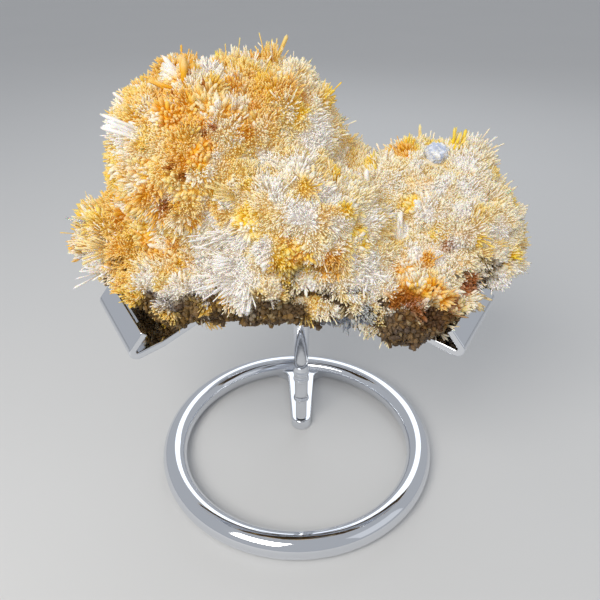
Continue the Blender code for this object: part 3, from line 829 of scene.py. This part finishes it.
def grow_crystals(stone, sizes):
    """The crystals' places, ways, lengths, widths, kinds and tints as arrays, and their random source."""
    chance = np.random.default_rng(SEED)
    sprays = plan_sprays(stone, SPRAY_SPACING, SPRAY_DEPTH, chance)
    tufts = plan_sprays(stone, TUFT_SPACING, TUFT_DEPTH, chance)
    points, normals = surface_samples(stone.data, NEEDLE_TRIALS, chance)
    first = thin_out(points, sizes.tip_spacing)
    points, normals = points[first], normals[first]
    places, corners = mesh_arrays(stone.data)
    tree = BVHTree.FromPolygons(places.tolist(), corners.tolist())
    tints = zone_shares(points, normals, tree)
    earthy = tints[:, EARTH_AND_SHADE_COLUMN] > EARTH_LEVEL
    seen = ((np.array(CAMERA_PLACE) - points) * normals).sum(1) > 0
    ragged = PRISM_RAGGED * smooth_noise(points, 3 * MM, 21)
    stout = ~earthy & (tints[:, PRISM_COLUMN] + ragged > PRISM_LEVEL)
    kinds = np.select((earthy, stout, ~seen), (EARTHY, STOUT, BACK), FINE)
    kept = []
    for kind, share in enumerate((1.0, PRISM_SPACING, EARTH_SPACING, BACK_SPACING)):
        inside = np.flatnonzero(kinds == kind)
        kept.append(inside if share == 1.0 else inside[thin_out(points[inside], sizes.tip_spacing * share)])
    kept = np.concatenate(kept)
    points, normals, tints, kinds = points[kept], normals[kept], tints[kept], kinds[kept]
    earthy, stout, count = kinds == EARTHY, kinds == STOUT, len(kept)
    spray, _ = nearest_spray(points, sprays)
    tuft, far_out = nearest_spray(points, tufts)
    ways = unit(points - sprays["focus"][spray]) * SPRAY_PULL
    ways += unit(points - tufts["focus"][tuft]) * TUFT_PULL
    ways = unit(ways + normals * SURFACE_PULL + chance.normal(scale=WAY_SCATTER, size=(count, 3)))
    ways[earthy] = unit(normals + chance.normal(scale=EARTH_SCATTER, size=(count, 3)))[earthy]
    short, long = NEEDLE_LENGTHS
    spray_lengths = short + (long - short) * chance.random(spray.max() + 1)
    tuft_lengths = chance.uniform(*TUFT_LENGTHS, tuft.max() + 1)
    lengths = spray_lengths[spray] * tuft_lengths[tuft] * (1.05 - TUFT_DOME * np.minimum(far_out, 1.2) ** 2)
    lengths *= (chance.normal(1.0, LENGTH_SCATTER, count)
                * np.where(chance.random(count) < LONG_SHARE, LONG_FACTOR, 1.0))
    lengths *= ((1 - EARTH_SHORTER * tints[:, EARTH_AND_SHADE_COLUMN]) * (1 - PATCH_SHORTER * tints[:, SHORT_COLUMN])
                * (1 + PATCH_LONGER * tints[:, LONG_COLUMN]))
    lengths[earthy] = chance.uniform(*EARTH_LENGTHS, earthy.sum())
    widths = sizes.needle_width * chance.uniform(*WIDTH_FACTORS, count)
    widths *= np.where(kinds == BACK, BACK_SPACING, 1.0)
    widths[earthy] = chance.uniform(*EARTH_WIDTHS, earthy.sum())
    widths[stout] = chance.uniform(*PRISM_WIDTHS, stout.sum())
    tints[:, :4] *= 1 + chance.normal(scale=TUFT_TINTS, size=(tuft.max() + 1, 4))[tuft]
    pale = (chance.random(tuft.max() + 1) < PALE_TUFTS)[tuft]
    tints[pale, :2] *= PALE_TINT
    tints[pale, 2] = np.maximum(tints[pale, 2], PALE_WHITE)
    tints[:, :4] *= 1 + chance.normal(scale=CRYSTAL_TINTS, size=(count, 4))
    crystals = {
        "root": points, "way": ways, "reach": lengths, "width": widths, "kind": kinds,
        "tint": np.clip(tints, 0, 1),
    }
    clear = ~earthy & (chance.random(count) < sizes.clear_count / count)
    crystals["kind"][clear] = CLEAR
    crystals["width"][clear] *= CLEAR_WIDTH
    fans = fan_crystals(tree, chance)
    crystals = {name: np.concatenate((values, fans[name])) for name, values in crystals.items()}
    crystals["reach"] = fit_lengths(crystals["root"], crystals["way"], crystals["reach"], crystals["width"])
    middle, towards = knot_place(tree)
    offset = crystals["root"] + crystals["way"] * crystals["reach"][:, None] * 0.7 - np.array(middle)
    along = offset @ np.array(towards)
    beside = np.linalg.norm(offset - along[:, None] * np.array(towards), axis=1)
    off_knot = (beside > KNOT_ROOM) | (along < -KNOT_RISE)
    keep = (crystals["reach"] > SHORTEST_NEEDLE) & off_knot
    return {name: values[keep] for name, values in crystals.items()}, chance


def fan_crystals(tree, chance):
    """The crystals that stand out in the picture, fanned out from their roots."""
    rows = {"root": [], "way": [], "reach": [], "width": [], "kind": [], "tint": []}
    for root, tip, count, spread, width, role, clear in FANS:
        spot, depth = picture_spot(tree, *root)
        peak = Vector(CAMERA_PLACE) + picture_ray(*tip) * depth
        way = peak - spot
        way += (Vector(CAMERA_PLACE) - spot).normalized() * way.length * FAN_RISE
        length, rows_way = way.length, np.array(way.normalized())
        tint = [0.9 * (name == role) for name in PATCHES]
        for _ in range(count):
            rows["root"].append(np.array(spot) + chance.normal(scale=0.25 * MM + spread * MM, size=3))
            rows["way"].append(rows_way + chance.normal(scale=spread, size=3))
            rows["reach"].append(length * (chance.uniform(0.6, 1.05) if count > 1 else 1.0))
            rows["width"].append(width * MM * chance.uniform(0.8, 1.2))
            rows["kind"].append(CLEAR if clear else STOUT if width > STOUT_FROM else FINE)
            rows["tint"].append(tint)
    rows = {name: np.array(values) for name, values in rows.items()}
    rows["way"] = unit(rows["way"])
    return rows


def fit_lengths(points, ways, lengths, widths):
    """Needle lengths drawn towards the CAD solid's surface, 0 for those that would touch the stand."""
    solid = tree_of(CLUSTER_NODE)
    metal = tree_of(*ARM_NODES, "hub", "post")
    fitted = lengths.copy()
    for index, (point, way) in enumerate(zip(points, ways)):
        start, aim = Vector(point), Vector(way)
        length = fitted[index]
        far = solid.ray_cast(start, aim, SOLID_REACH)[3]
        if far is not None:
            follow = min(max(far, length * DRAWN_IN), length * DRAWN_OUT)
            length += (follow - length) * FOLLOW_SOLID
            length = max(min(length, far + SOLID_OVERREACH), length * SHORTEST_SHARE)
        blocked = metal.ray_cast(start, aim, length + 1 * MM)[3]
        fitted[index] = length if blocked is None else min(length, blocked - ARM_CLEARANCE)
        if metal.find_nearest(start, length + 2 * MM)[3] is None:
            continue
        room = widths[index] * 0.7 + ARM_CLEARANCE
        spots = [start + aim * reach for reach in (-NEEDLE_SINK, -NEEDLE_SINK / 2, 0, length / 2, length)]
        touches = any(metal.find_nearest(spot, room)[3] is not None for spot in spots)
        if touches or metal.ray_cast(start, -aim, NEEDLE_SINK)[3] is not None:
            fitted[index] = 0
    return fitted


def crystal_bundle(name, crystals, stout, chance):
    """One mesh of closed four-sided crystals: stout with a wedge tip, or fine with a point at each end."""
    ways, widths, roots = crystals["way"], crystals["width"], crystals["root"]
    count = len(widths)
    helper = np.where(np.abs(ways[:, 2:3]) < 0.9, (0.0, 0.0, 1.0), (1.0, 0.0, 0.0))
    side = unit(np.cross(ways, helper))
    turn = chance.uniform(0, 2 * math.pi, count)[:, None]
    across = side * np.cos(turn) + np.cross(ways, side) * np.sin(turn)
    deep = np.cross(ways, across)
    half_wide = (widths / 2)[:, None]
    half_deep = half_wide * chance.uniform(*CRYSTAL_DEPTHS, count)[:, None]
    tip = np.minimum(crystals["reach"] * 0.5, widths * chance.uniform(*TIP_LENGTHS, count))[:, None]
    lean = chance.uniform(-TIP_LEAN, TIP_LEAN, (count, 2, 1))
    deepest = roots - ways * NEEDLE_SINK
    shoulder = roots + ways * (crystals["reach"][:, None] - tip)
    peak = roots + ways * crystals["reach"][:, None] + deep * half_deep * lean[:, 0]
    faces, rise = (PRISM_FACES, PRISM_RISE) if stout else (SPLINTER_FACES, SPLINTER_RISE)
    size = len(rise)
    places = np.empty((count, size, 3))
    ring = 4 if stout else 1
    for index, (wide_sign, deep_sign) in enumerate(((1, 1), (-1, 1), (-1, -1), (1, -1))):
        offset = across * half_wide * wide_sign + deep * half_deep * deep_sign
        places[:, ring + index] = shoulder + offset
        if stout:
            places[:, index] = deepest + offset * FOOT_TAPER
    if stout:
        ridge = chance.uniform(0.0, RIDGE, count)[:, None]
        places[:, 8] = peak + across * half_wide * ridge
        places[:, 9] = peak - across * half_wide * ridge
    else:
        places[:, 0] = deepest
        places[:, 5] = peak + across * half_wide * lean[:, 1]
    base = (np.arange(count) * size)[:, None]
    loops = np.concatenate([(np.array(face) + base).ravel() for face in faces]).astype(np.int32)
    sizes = np.repeat([len(face) for face in faces], count)
    mesh = bpy.data.meshes.new(name)
    mesh.vertices.add(count * size)
    mesh.vertices.foreach_set("co", places.astype(np.float32).ravel())
    mesh.loops.add(len(loops))
    mesh.loops.foreach_set("vertex_index", loops)
    mesh.polygons.add(len(sizes))
    mesh.polygons.foreach_set("loop_start", (np.cumsum(sizes) - sizes).astype(np.int32))
    mesh.update(calc_edges=True)
    add_numbers(mesh, "rise", np.tile(rise, count))
    add_numbers(mesh, "own", np.repeat(chance.random(count), size))
    for index, role in enumerate(TINT_ROLES):
        add_numbers(mesh, role, np.repeat(crystals["tint"][:, index], size))
    return mesh


def zone_colour(finish, colours, rise, own):
    """The cluster's colour: cream ground with each zone's tint, deeper at the crystals' feet, partly their
    own colour and partly painted shade among the crowded feet.
    """
    cloud = finish.noise(420.0, 3.0, 0.6)
    speckle = finish.noise(1700.0, 2.0, 0.6)
    colour = finish.mix(cloud * 0.5, tuple(colours.cream), (0.94, 0.74, 0.30))
    # Deeper orange and stronger tints towards the feet: partly the crystals' own colour, partly painted
    # shade where they crowd together
    colour = finish.mix((1.0 - rise) * 0.5, colour, (0.88, 0.52, 0.10))
    tinted = (1.15 - rise * 0.3)
    for role in ("gold", "amber", "white", "rust"):
        share = finish.attribute(role) * (0.75 + rise * 0.5 if role == "white" else tinted)
        share = (share + (speckle - 0.5) * 0.35 * share).clamped()
        colour = finish.mix(share, colour, tuple(getattr(colours, role)))
    # Paler tips: partly the needles' own paler ends, partly painted highlights on the tips
    pale = (rise - 0.5) * (own * 0.8 + 0.1) * (1.1 + finish.attribute("white") * 1.4)
    pale = pale * (1.0 - finish.attribute("rust")).clamped()
    colour = finish.mix(pale.clamped(), colour, (0.98, 0.93, 0.80))
    # Brown stone kept very dark: partly its own colour, partly painted shade on the underside and lower edge
    brown = finish.mix(finish.step(own, 0.35, 0.75), tuple(colours.earth_and_shade), (0.20, 0.11, 0.035))
    brown = finish.mix(finish.step(own, 0.92, 0.95), brown, (0.30, 0.22, 0.12))
    colour = finish.mix((finish.attribute("earth_and_shade") * 1.3).clamped() * 0.95, colour, brown)
    # Painted bluish shade from the shade patches, partly the crystals' own bluish tint
    return finish.mix(finish.attribute("shade") * 0.7, colour, (0.36, 0.42, 0.52))


def paint_foot_glow(finish, colour, rise):
    """Painted glow: emission that stands in for the light coming through the crystals around, strongest at
    their feet and none in brown stone.
    """
    glow = finish.mix(0.35, colour, (0.90, 0.45, 0.03))
    dark = (rise * 0.7 + finish.attribute("earth_and_shade") * 1.5 + finish.attribute("shade")).clamped()
    finish.set(Emission_Color=finish.mix(dark, glow, (0.0, 0.0, 0.0)), Emission_Strength=PAINTED_FOOT_GLOW)


def crystal_finish(name, colours, clear=False):
    """Glassy, milky creedite, or clear creedite with the same tints."""
    finish = Finish(name)
    rise, own = finish.attribute("rise"), finish.attribute("own")
    colour = zone_colour(finish, colours, rise, own)
    finish.set(Base_Color=colour, Roughness=0.34 + own * 0.22, IOR=1.47)
    if clear:
        finish.set(Transmission_Weight=0.6, Subsurface_Weight=0.5, Subsurface_Scale=0.5 * MM)
    else:
        finish.set(Transmission_Weight=0.06, Specular_IOR_Level=0.1)
        finish.set(Subsurface_Weight=0.35, Subsurface_Radius=(1.0, 0.7, 0.35), Subsurface_Scale=0.12 * MM)
        # Painted glow at the milky crystals' feet
        paint_foot_glow(finish, colour, rise)
    return finish.material


def stone_finish(colours):
    """Granular stone between the crystals' feet, tinted as they are."""
    finish = Finish("grown_together_stone")
    grain = finish.noise(1500.0, 4.0, 0.65)
    # Grain serves as the rise, so the stone takes the deeper foot colour: partly its own tone, partly
    # painted shade between the crystals' feet
    colour = zone_colour(finish, colours, grain * 0.8, grain)
    finish.set(Base_Color=colour, Roughness=0.45 + grain * 0.3)
    # Painted glow on the stone, as at the crystals' feet
    paint_foot_glow(finish, colour, grain * 0.3)
    finish.bump(grain, 0.5, 0.3 * MM)
    return finish.material


def metal_finish(looks):
    """Mirror-polished plating with faint wipe marks and a few dull spots."""
    finish = Finish("polished_plating")
    wipe = finish.noise(90.0, 3.0, 0.6, stretch=(1.0, 1.0, 6.0))
    dust = finish.step(finish.noise(2600.0, 2.0, 0.5), 0.68, 0.78)
    colour = finish.mix(wipe * 0.18, tuple(looks.metal), (0.66, 0.70, 0.78))
    finish.set(Base_Color=colour, Metallic=1.0, Roughness=0.035 + wipe * 0.05 + dust * 0.12)
    finish.bump(wipe, 0.04, 0.2 * MM)
    return finish.material


def crystal_groups(crystals):
    """Names of the cluster's groups of crystals, which crystals each has and whether they are stout."""
    x, y, kinds = crystals["root"][:, 0], crystals["root"][:, 1], crystals["kind"]
    left, right, back = x < LEFT_EDGE, x > RIGHT_EDGE, y > BACK_EDGE
    fine = (kinds == FINE) | (kinds == BACK)
    return {
        "sprays_left_front": (fine & left & ~back, False),
        "sprays_left_back": (fine & left & back, False),
        "sprays_middle_front": (fine & ~left & ~right & ~back, False),
        "sprays_middle_back": (fine & ~left & ~right & back, False),
        "sprays_right_front": (fine & right & ~back, False),
        "sprays_right_back": (fine & right & back, False),
        "stout_prisms": (kinds == STOUT, True),
        "brown_stone_crystals": (kinds == EARTHY, True),
        "clear_crystals": (kinds == CLEAR, True),
    }


class OBJECT_OT_creedite_stone(bpy.types.Operator):
    """Makes the grown-together stone under the crystals"""

    bl_idname = "object.creedite_stone"
    bl_label = "Grown-together stone"

    def execute(self, context):
        stone = grow_stone()
        stone.data.shade_smooth()
        finish_piece(stone, stone_finish(context.scene.creedite_colours), "creedite", CLUSTER_NODE)
        return {"FINISHED"}


class OBJECT_OT_creedite_sprays(bpy.types.Operator):
    """Grows the fine needle sprays, one mesh for each region of the cluster, and the stouter crystals"""

    bl_idname = "object.creedite_sprays"
    bl_label = "Needle sprays"

    def execute(self, context):
        scene = context.scene
        crystals, chance = grow_crystals(bpy.data.objects["cluster_stone"], scene.creedite_sizes)
        milky = crystal_finish("milky_creedite", scene.creedite_colours)
        glassy = crystal_finish("clear_creedite", scene.creedite_colours, clear=True)
        for name, (chosen, stout) in crystal_groups(crystals).items():
            part = {key: values[chosen] for key, values in crystals.items()}
            triangles = sum(len(face) - 2 for face in (PRISM_FACES if stout else SPLINTER_FACES))
            if len(part["reach"]) * triangles > PIECE_TRIANGLE_LIMIT:
                raise RuntimeError(f"{name} has too many crystals for one piece")
            mesh = crystal_bundle(name, part, stout, chance)
            finish = glassy if name == "clear_crystals" else milky
            finish_piece(add_mesh_object(name, mesh), finish, "creedite", CLUSTER_NODE)
        return {"FINISHED"}


def grow_knot(stone):
    """The pale knot: a rounded crystal lump, pitted, that stands half out of the stone."""
    places, corners = mesh_arrays(stone.data)
    middle, _ = knot_place(BVHTree.FromPolygons(places.tolist(), corners.tolist()))
    bm = bmesh.new()
    bmesh.ops.create_icosphere(bm, subdivisions=5, radius=1.0)
    points = np.array([corner.co for corner in bm.verts])
    lumps = 1 + 0.09 * smooth_noise(points, 0.8, 31) + 0.06 * smooth_noise(points, 0.25, 32)
    for corner, place in zip(bm.verts, np.array(middle) + points * lumps[:, None] * KNOT_HALVES):
        corner.co = place
    return bmesh_object("pale_knot", bm, math.radians(60))


def knot_finish():
    """Lavender-white, milky lump with a pitted skin, darker blue-lavender in the pits: partly its own tone,
    partly painted shade.
    """
    finish = Finish("pale_knot_skin")
    pits = finish.noise(1300.0, 3.0, 0.6)
    # Darker blue-lavender in the bump's dents: partly the knot's own tone, partly painted shade in its pits
    colour = finish.mix(finish.step(pits, 0.35, 0.7), (0.50, 0.57, 0.74), (0.95, 0.96, 0.98))
    finish.set(Base_Color=colour, Roughness=0.2 + pits * 0.3, IOR=1.47, Transmission_Weight=0.05)
    finish.set(Subsurface_Weight=0.5, Subsurface_Radius=(0.8, 0.85, 1.0), Subsurface_Scale=0.3 * MM)
    finish.bump(pits, 0.6, 0.3 * MM)
    return finish.material


class OBJECT_OT_creedite_knot(bpy.types.Operator):
    """Makes the pale rounded knot on the right shoulder"""

    bl_idname = "object.creedite_knot"
    bl_label = "Pale knot"

    def execute(self, context):
        knot = grow_knot(bpy.data.objects["cluster_stone"])
        finish_piece(knot, knot_finish(), "creedite", CLUSTER_NODE)
        return {"FINISHED"}


def skin(rows, closed=False):
    """A bmesh of rows of points joined by faces: capped at both ends, or closed back on the first row."""
    bm = bmesh.new()
    rows = [[bm.verts.new(point) for point in row] for row in rows]
    for low, high in pairwise(rows + rows[:1] if closed else rows):
        for index in range(len(low)):
            after = (index + 1) % len(low)
            bm.faces.new((low[index], low[after], high[after], high[index]))
    if not closed:
        bm.faces.new(rows[0])
        bm.faces.new(rows[-1])
    return bm


def arc(centre, radius, start, steps, sweep=QUARTER):
    """Points in a plane along an arc."""
    x, y = centre
    angles = [start + sweep * step / steps for step in range(steps + 1)]
    return [(x + radius * math.cos(angle), y + radius * math.sin(angle)) for angle in angles]


def full_turn(steps):
    """Cosine and sine of even steps around a circle."""
    angles = [4 * QUARTER * step / steps for step in range(steps)]
    return [(math.cos(angle), math.sin(angle)) for angle in angles]


def turned_solid(profile):
    """A bmesh turned about Z from radius and height pairs."""
    ways = full_turn(TURNED_STEPS)
    return skin([[(radius * x, radius * y, height) for x, y in ways] for radius, height in profile])


def bmesh_object(name, bm, smooth_angle):
    """A named object of a bmesh, smooth up to an angle."""
    bmesh.ops.recalc_face_normals(bm, faces=bm.faces)
    mesh = bpy.data.meshes.new(name)
    bm.to_mesh(mesh)
    bm.free()
    mesh.shade_smooth()
    mesh.set_sharp_from_angle(angle=smooth_angle)
    return add_mesh_object(name, mesh)


def round_edges(item, radius):
    """Rounds an object's sharp edges."""
    bevel = item.modifiers.new("rounded", "BEVEL")
    bevel.width = radius
    bevel.segments = 4
    bevel.limit_method = "ANGLE"
    bevel.angle_limit = math.radians(35)
    bevel.harden_normals = True
    return item


def ring_bar():
    """The round bar bent into a ring, with the narrow flat it stands on."""
    bar_radius = BAR_DIAMETER / 2
    height = bar_radius - FOOT_FLAT_DEPTH
    flat = math.acos(height / bar_radius)
    middle = (RING_DIAMETER / 2 - bar_radius, height)
    section = arc(middle, bar_radius, flat - QUARTER, BAR_STEPS, 4 * QUARTER - 2 * flat)
    rows = [[(reach * x, reach * y, rise) for reach, rise in section] for x, y in full_turn(RING_STEPS)]
    return skin(rows, closed=True)


def tongue_block():
    """The tongue: round tip, straight taper, and a flare into the ring."""
    offset = POST_AXIS - RING_CENTRE
    widest = TONGUE_ROOT_HALF_WIDTH + TONGUE_FLARE
    flare_middle = (widest, RING_DIAMETER / 2 - BAR_DIAMETER - TONGUE_FLARE)
    right = arc((0.0, offset.y + TONGUE_TIP_SET_BACK), TONGUE_TIP_RADIUS, -QUARTER, TIP_STEPS)
    right += arc(flare_middle, TONGUE_FLARE, 2 * QUARTER, BEND_STEPS, -QUARTER)
    right.append((widest, RING_DIAMETER / 2 - BAR_DIAMETER / 2))
    outline = right + [(-x, y) for x, y in reversed(right[1:])]
    bm = bmesh.new()
    face = bm.faces.new([bm.verts.new((offset.x + x, y, TONGUE_LIFT)) for x, y in outline])
    grown = bmesh.ops.extrude_face_region(bm, geom=[face])["geom"]
    raised = [part for part in grown if isinstance(part, bmesh.types.BMVert)]
    bmesh.ops.translate(bm, verts=raised, vec=(0.0, 0.0, TONGUE_HEIGHT - TONGUE_LIFT))
    return bm


def build_polished_ring(looks):
    """Ring and tongue in one piece, with the tongue's edges rounded."""
    ring = bmesh_object("polished_ring", ring_bar(), math.radians(30))
    tongue = bmesh_object("tongue_helper", tongue_block(), math.radians(30))
    round_edges(tongue, looks.edge)
    join = ring.modifiers.new("join", "BOOLEAN")
    join.operation = "UNION"
    join.solver = "EXACT"
    join.object = tongue
    apply_modifiers(ring)
    bpy.data.objects.remove(tongue)
    ring.data.shade_smooth()
    ring.data.set_sharp_from_angle(angle=math.radians(30))
    ring.location = (RING_CENTRE.x, RING_CENTRE.y, 0.0)
    return ring


def post_profile():
    """Radius and height pairs of the turned post, with round beads."""
    foot = TONGUE_HEIGHT + GAP
    top = HUB_LOW.z - GAP
    half = POST_BEAD_HALF_HEIGHT
    profile = [(POST_FOOT_RADIUS - POST_FOOT_EDGE, foot), (POST_FOOT_RADIUS, foot + POST_FOOT_EDGE)]
    below = POST_FOOT_RADIUS
    for height in POST_BEAD_HEIGHTS:
        for step in range(BEAD_STEPS + 1):
            share = step / BEAD_STEPS
            waist = below + (POST_WAIST_RADIUS - below) * share
            swell = (POST_BEAD_RADIUS - waist) * math.sin(math.pi * share)
            profile.append((waist + swell, height - half + 2 * half * share))
        below = POST_WAIST_RADIUS
    start = profile[-1][1]
    for step in range(1, SHAFT_STEPS + 1):
        share = step / SHAFT_STEPS
        radius = POST_WAIST_RADIUS + (POST_TOP_RADIUS - POST_WAIST_RADIUS) * share
        profile.append((radius, start + (top - start) * share))
    return profile


def hub_profile():
    """Radius and height pairs of the hub, its edges as quarter rounds."""
    inner = HUB_RADIUS - HUB_EDGE
    low, high = HUB_LOW.z + HUB_EDGE, HUB_HIGH.z - HUB_EDGE
    return arc((inner, low), HUB_EDGE, -QUARTER, HUB_STEPS) + arc((inner, high), HUB_EDGE, 0.0, HUB_STEPS)


def arm_middle_line(bend_reach):
    """Radius and height pairs along the middle of an arm's thickness, hub to lip."""
    root_reach = HUB_RADIUS + GAP + ARM_THICKNESS * math.tan(ARM_SLOPE)
    root = Vector((root_reach, ARM_BEND_HEIGHT + (bend_reach - root_reach) * math.tan(ARM_SLOPE)))
    bend = Vector((bend_reach, ARM_BEND_HEIGHT))
    tip = bend + Vector((-LIP_LEAN_IN, LIP_RISE))
    into = (root - bend).normalized()
    away = (tip - bend).normalized()
    half_turn = into.angle(away) / 2
    setback = BEND_RADIUS / math.tan(half_turn)
    centre = bend + (into + away).normalized() * (BEND_RADIUS / math.sin(half_turn))
    first = (bend + into * setback - centre).normalized()
    last = (bend + away * setback - centre).normalized()
    line = [root, bend + into * ARM_SHOULDER]
    for step in range(BEND_STEPS + 1):
        line.append(centre + first.slerp(last, step / BEND_STEPS) * BEND_RADIUS)
    line.append(tip)
    return line


def arm_band(bend_reach):
    """A bmesh of one bent band, pointing along +X from the post's axis."""
    line = arm_middle_line(bend_reach)
    sections = []
    for index, point in enumerate(line):
        before, after = line[max(index - 1, 0)], line[min(index + 1, len(line) - 1)]
        along = (after - before).normalized()
        across = Vector((-along.y, along.x)) * ARM_THICKNESS / 2
        wide = ARM_ROOT_HALF_WIDTH if index == 0 else ARM_HALF_WIDTH
        section = []
        for side, face in ((-1, 1), (1, 1), (1, -1), (-1, -1)):
            spot = point + across * face
            section.append((spot.x, side * wide, spot.y))
        sections.append(section)
    return skin(sections)


class OBJECT_OT_creedite_stand(bpy.types.Operator):
    """Makes the polished ring, post, hub and arms"""

    bl_idname = "object.creedite_stand"
    bl_label = "Polished stand"

    def execute(self, context):
        looks = context.scene.creedite_stand
        metal = metal_finish(looks)
        finish_piece(build_polished_ring(looks), metal, "polished_metal", "ring_base")
        for node, profile in (("post", post_profile()), ("hub", hub_profile())):
            turned = bmesh_object(f"polished_{node}", turned_solid(profile), math.radians(40))
            turned.location = (POST_AXIS.x, POST_AXIS.y, 0.0)
            finish_piece(turned, metal, "polished_metal", node)
        for node, (azimuth, reach) in ARM_REACHES.items():
            arm = bmesh_object(f"polished_{node}", arm_band(reach), math.radians(25))
            turn = Matrix.Rotation(azimuth, 4, "Z")
            arm.matrix_world = Matrix.Translation((POST_AXIS.x, POST_AXIS.y, 0.0)) @ turn
            apply_modifiers(round_edges(arm, looks.edge))
            finish_piece(arm, metal, "polished_metal", node)
        return {"FINISHED"}


def floor_finish(looks):
    """Plain pale floor with the faintest mottling."""
    finish = Finish("pale_floor")
    mottle = finish.noise(14.0, 3.0, 0.5)
    colour = finish.mix(mottle * 0.12, tuple(looks.floor), (0.52, 0.53, 0.54))
    finish.set(Base_Color=colour, Roughness=0.7 + mottle * 0.1)
    return finish.material


def add_light(name, place, target, size, power, colour):
    """A square soft light that faces a point."""
    light = bpy.data.lights.new(name, "AREA")
    light.size = size
    light.energy = power
    light.color = colour
    item = bpy.data.objects.new(name, light)
    bpy.context.scene.collection.objects.link(item)
    item.location = place
    item.rotation_mode = "QUATERNION"
    item.rotation_quaternion = (Vector(target) - Vector(place)).to_track_quat("-Z", "Y")


class OBJECT_OT_creedite_studio(bpy.types.Operator):
    """Sets the pale floor, the soft lights and the camera"""

    bl_idname = "object.creedite_studio"
    bl_label = "Studio"

    def execute(self, context):
        looks = context.scene.creedite_studio
        bm = bmesh.new()
        bmesh.ops.create_circle(bm, cap_ends=True, segments=96, radius=FLOOR_RADIUS)
        floor = bmesh_object("studio_floor", bm, math.radians(30))
        floor.data.materials.append(floor_finish(looks))
        floor.location = (0.0, 0.0, CAD_BOX[0].z)
        crown = node_middle(CLUSTER_NODE)
        for name, (place, size, share, colour) in LIGHTS.items():
            add_light(name, place, crown, size, looks.key * share, colour)
        world = bpy.data.worlds.new("soft_room")
        world.use_nodes = True
        sky = world.node_tree.nodes["Background"]
        sky.inputs["Color"].default_value = SKY_COLOUR
        sky.inputs["Strength"].default_value = SKY_STRENGTH
        context.scene.world = world
        context.scene.view_settings.view_transform = "Standard"
        lens = bpy.data.cameras.new("photo_camera")
        lens.lens = CAMERA_LENS
        lens.sensor_width = CAMERA_SENSOR
        lens.clip_start = 0.005
        camera = bpy.data.objects.new("photo_camera", lens)
        context.scene.collection.objects.link(camera)
        camera.location = CAMERA_PLACE
        camera.rotation_euler = (math.pi / 2 - CAMERA_PITCH, 0.0, 0.0)
        context.scene.camera = camera
        return {"FINISHED"}


class VIEW3D_PT_creedite(bpy.types.Panel):
    """Lists the operators and their settings"""

    bl_idname = "VIEW3D_PT_creedite"
    bl_label = "Creedite cluster"
    bl_space_type = "VIEW_3D"
    bl_region_type = "UI"
    bl_category = "Creedite"

    def draw(self, context):
        for operator in OPERATORS:
            self.layout.operator(operator.bl_idname)
        for name, group in SETTINGS.items():
            box = self.layout.box()
            for setting in group.__annotations__:
                box.prop(getattr(context.scene, name), setting)


OPERATORS = (
    OBJECT_OT_creedite_stone,
    OBJECT_OT_creedite_sprays,
    OBJECT_OT_creedite_knot,
    OBJECT_OT_creedite_stand,
    OBJECT_OT_creedite_studio,
)
SETTINGS = {
    "creedite_colours": CrystalColours,
    "creedite_sizes": CrystalSizes,
    "creedite_stand": StandLooks,
    "creedite_studio": StudioLooks,
}


def register():
    for group in SETTINGS.values():
        bpy.utils.register_class(group)
    for name, group in SETTINGS.items():
        setattr(bpy.types.Scene, name, PointerProperty(type=group))
    for item in (*OPERATORS, VIEW3D_PT_creedite):
        bpy.utils.register_class(item)


def unregister():
    for item in (VIEW3D_PT_creedite, *reversed(OPERATORS)):
        bpy.utils.unregister_class(item)
    for name, group in SETTINGS.items():
        delattr(bpy.types.Scene, name)
        bpy.utils.unregister_class(group)


def clear_start_objects():
    """Removes the start-up file's own objects, never the frame's."""
    kept = set(frame["nodes"].values()) | set(frame["bodies"].values())
    for item in list(bpy.data.objects):
        if item not in kept:
            bpy.data.objects.remove(item)


def main():
    """Registers the add-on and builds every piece."""
    register()
    clear_start_objects()
    bpy.ops.object.creedite_stone()
    bpy.ops.object.creedite_sprays()
    bpy.ops.object.creedite_knot()
    bpy.ops.object.creedite_stand()
    bpy.ops.object.creedite_studio()


if __name__ == "__main__":
    main()
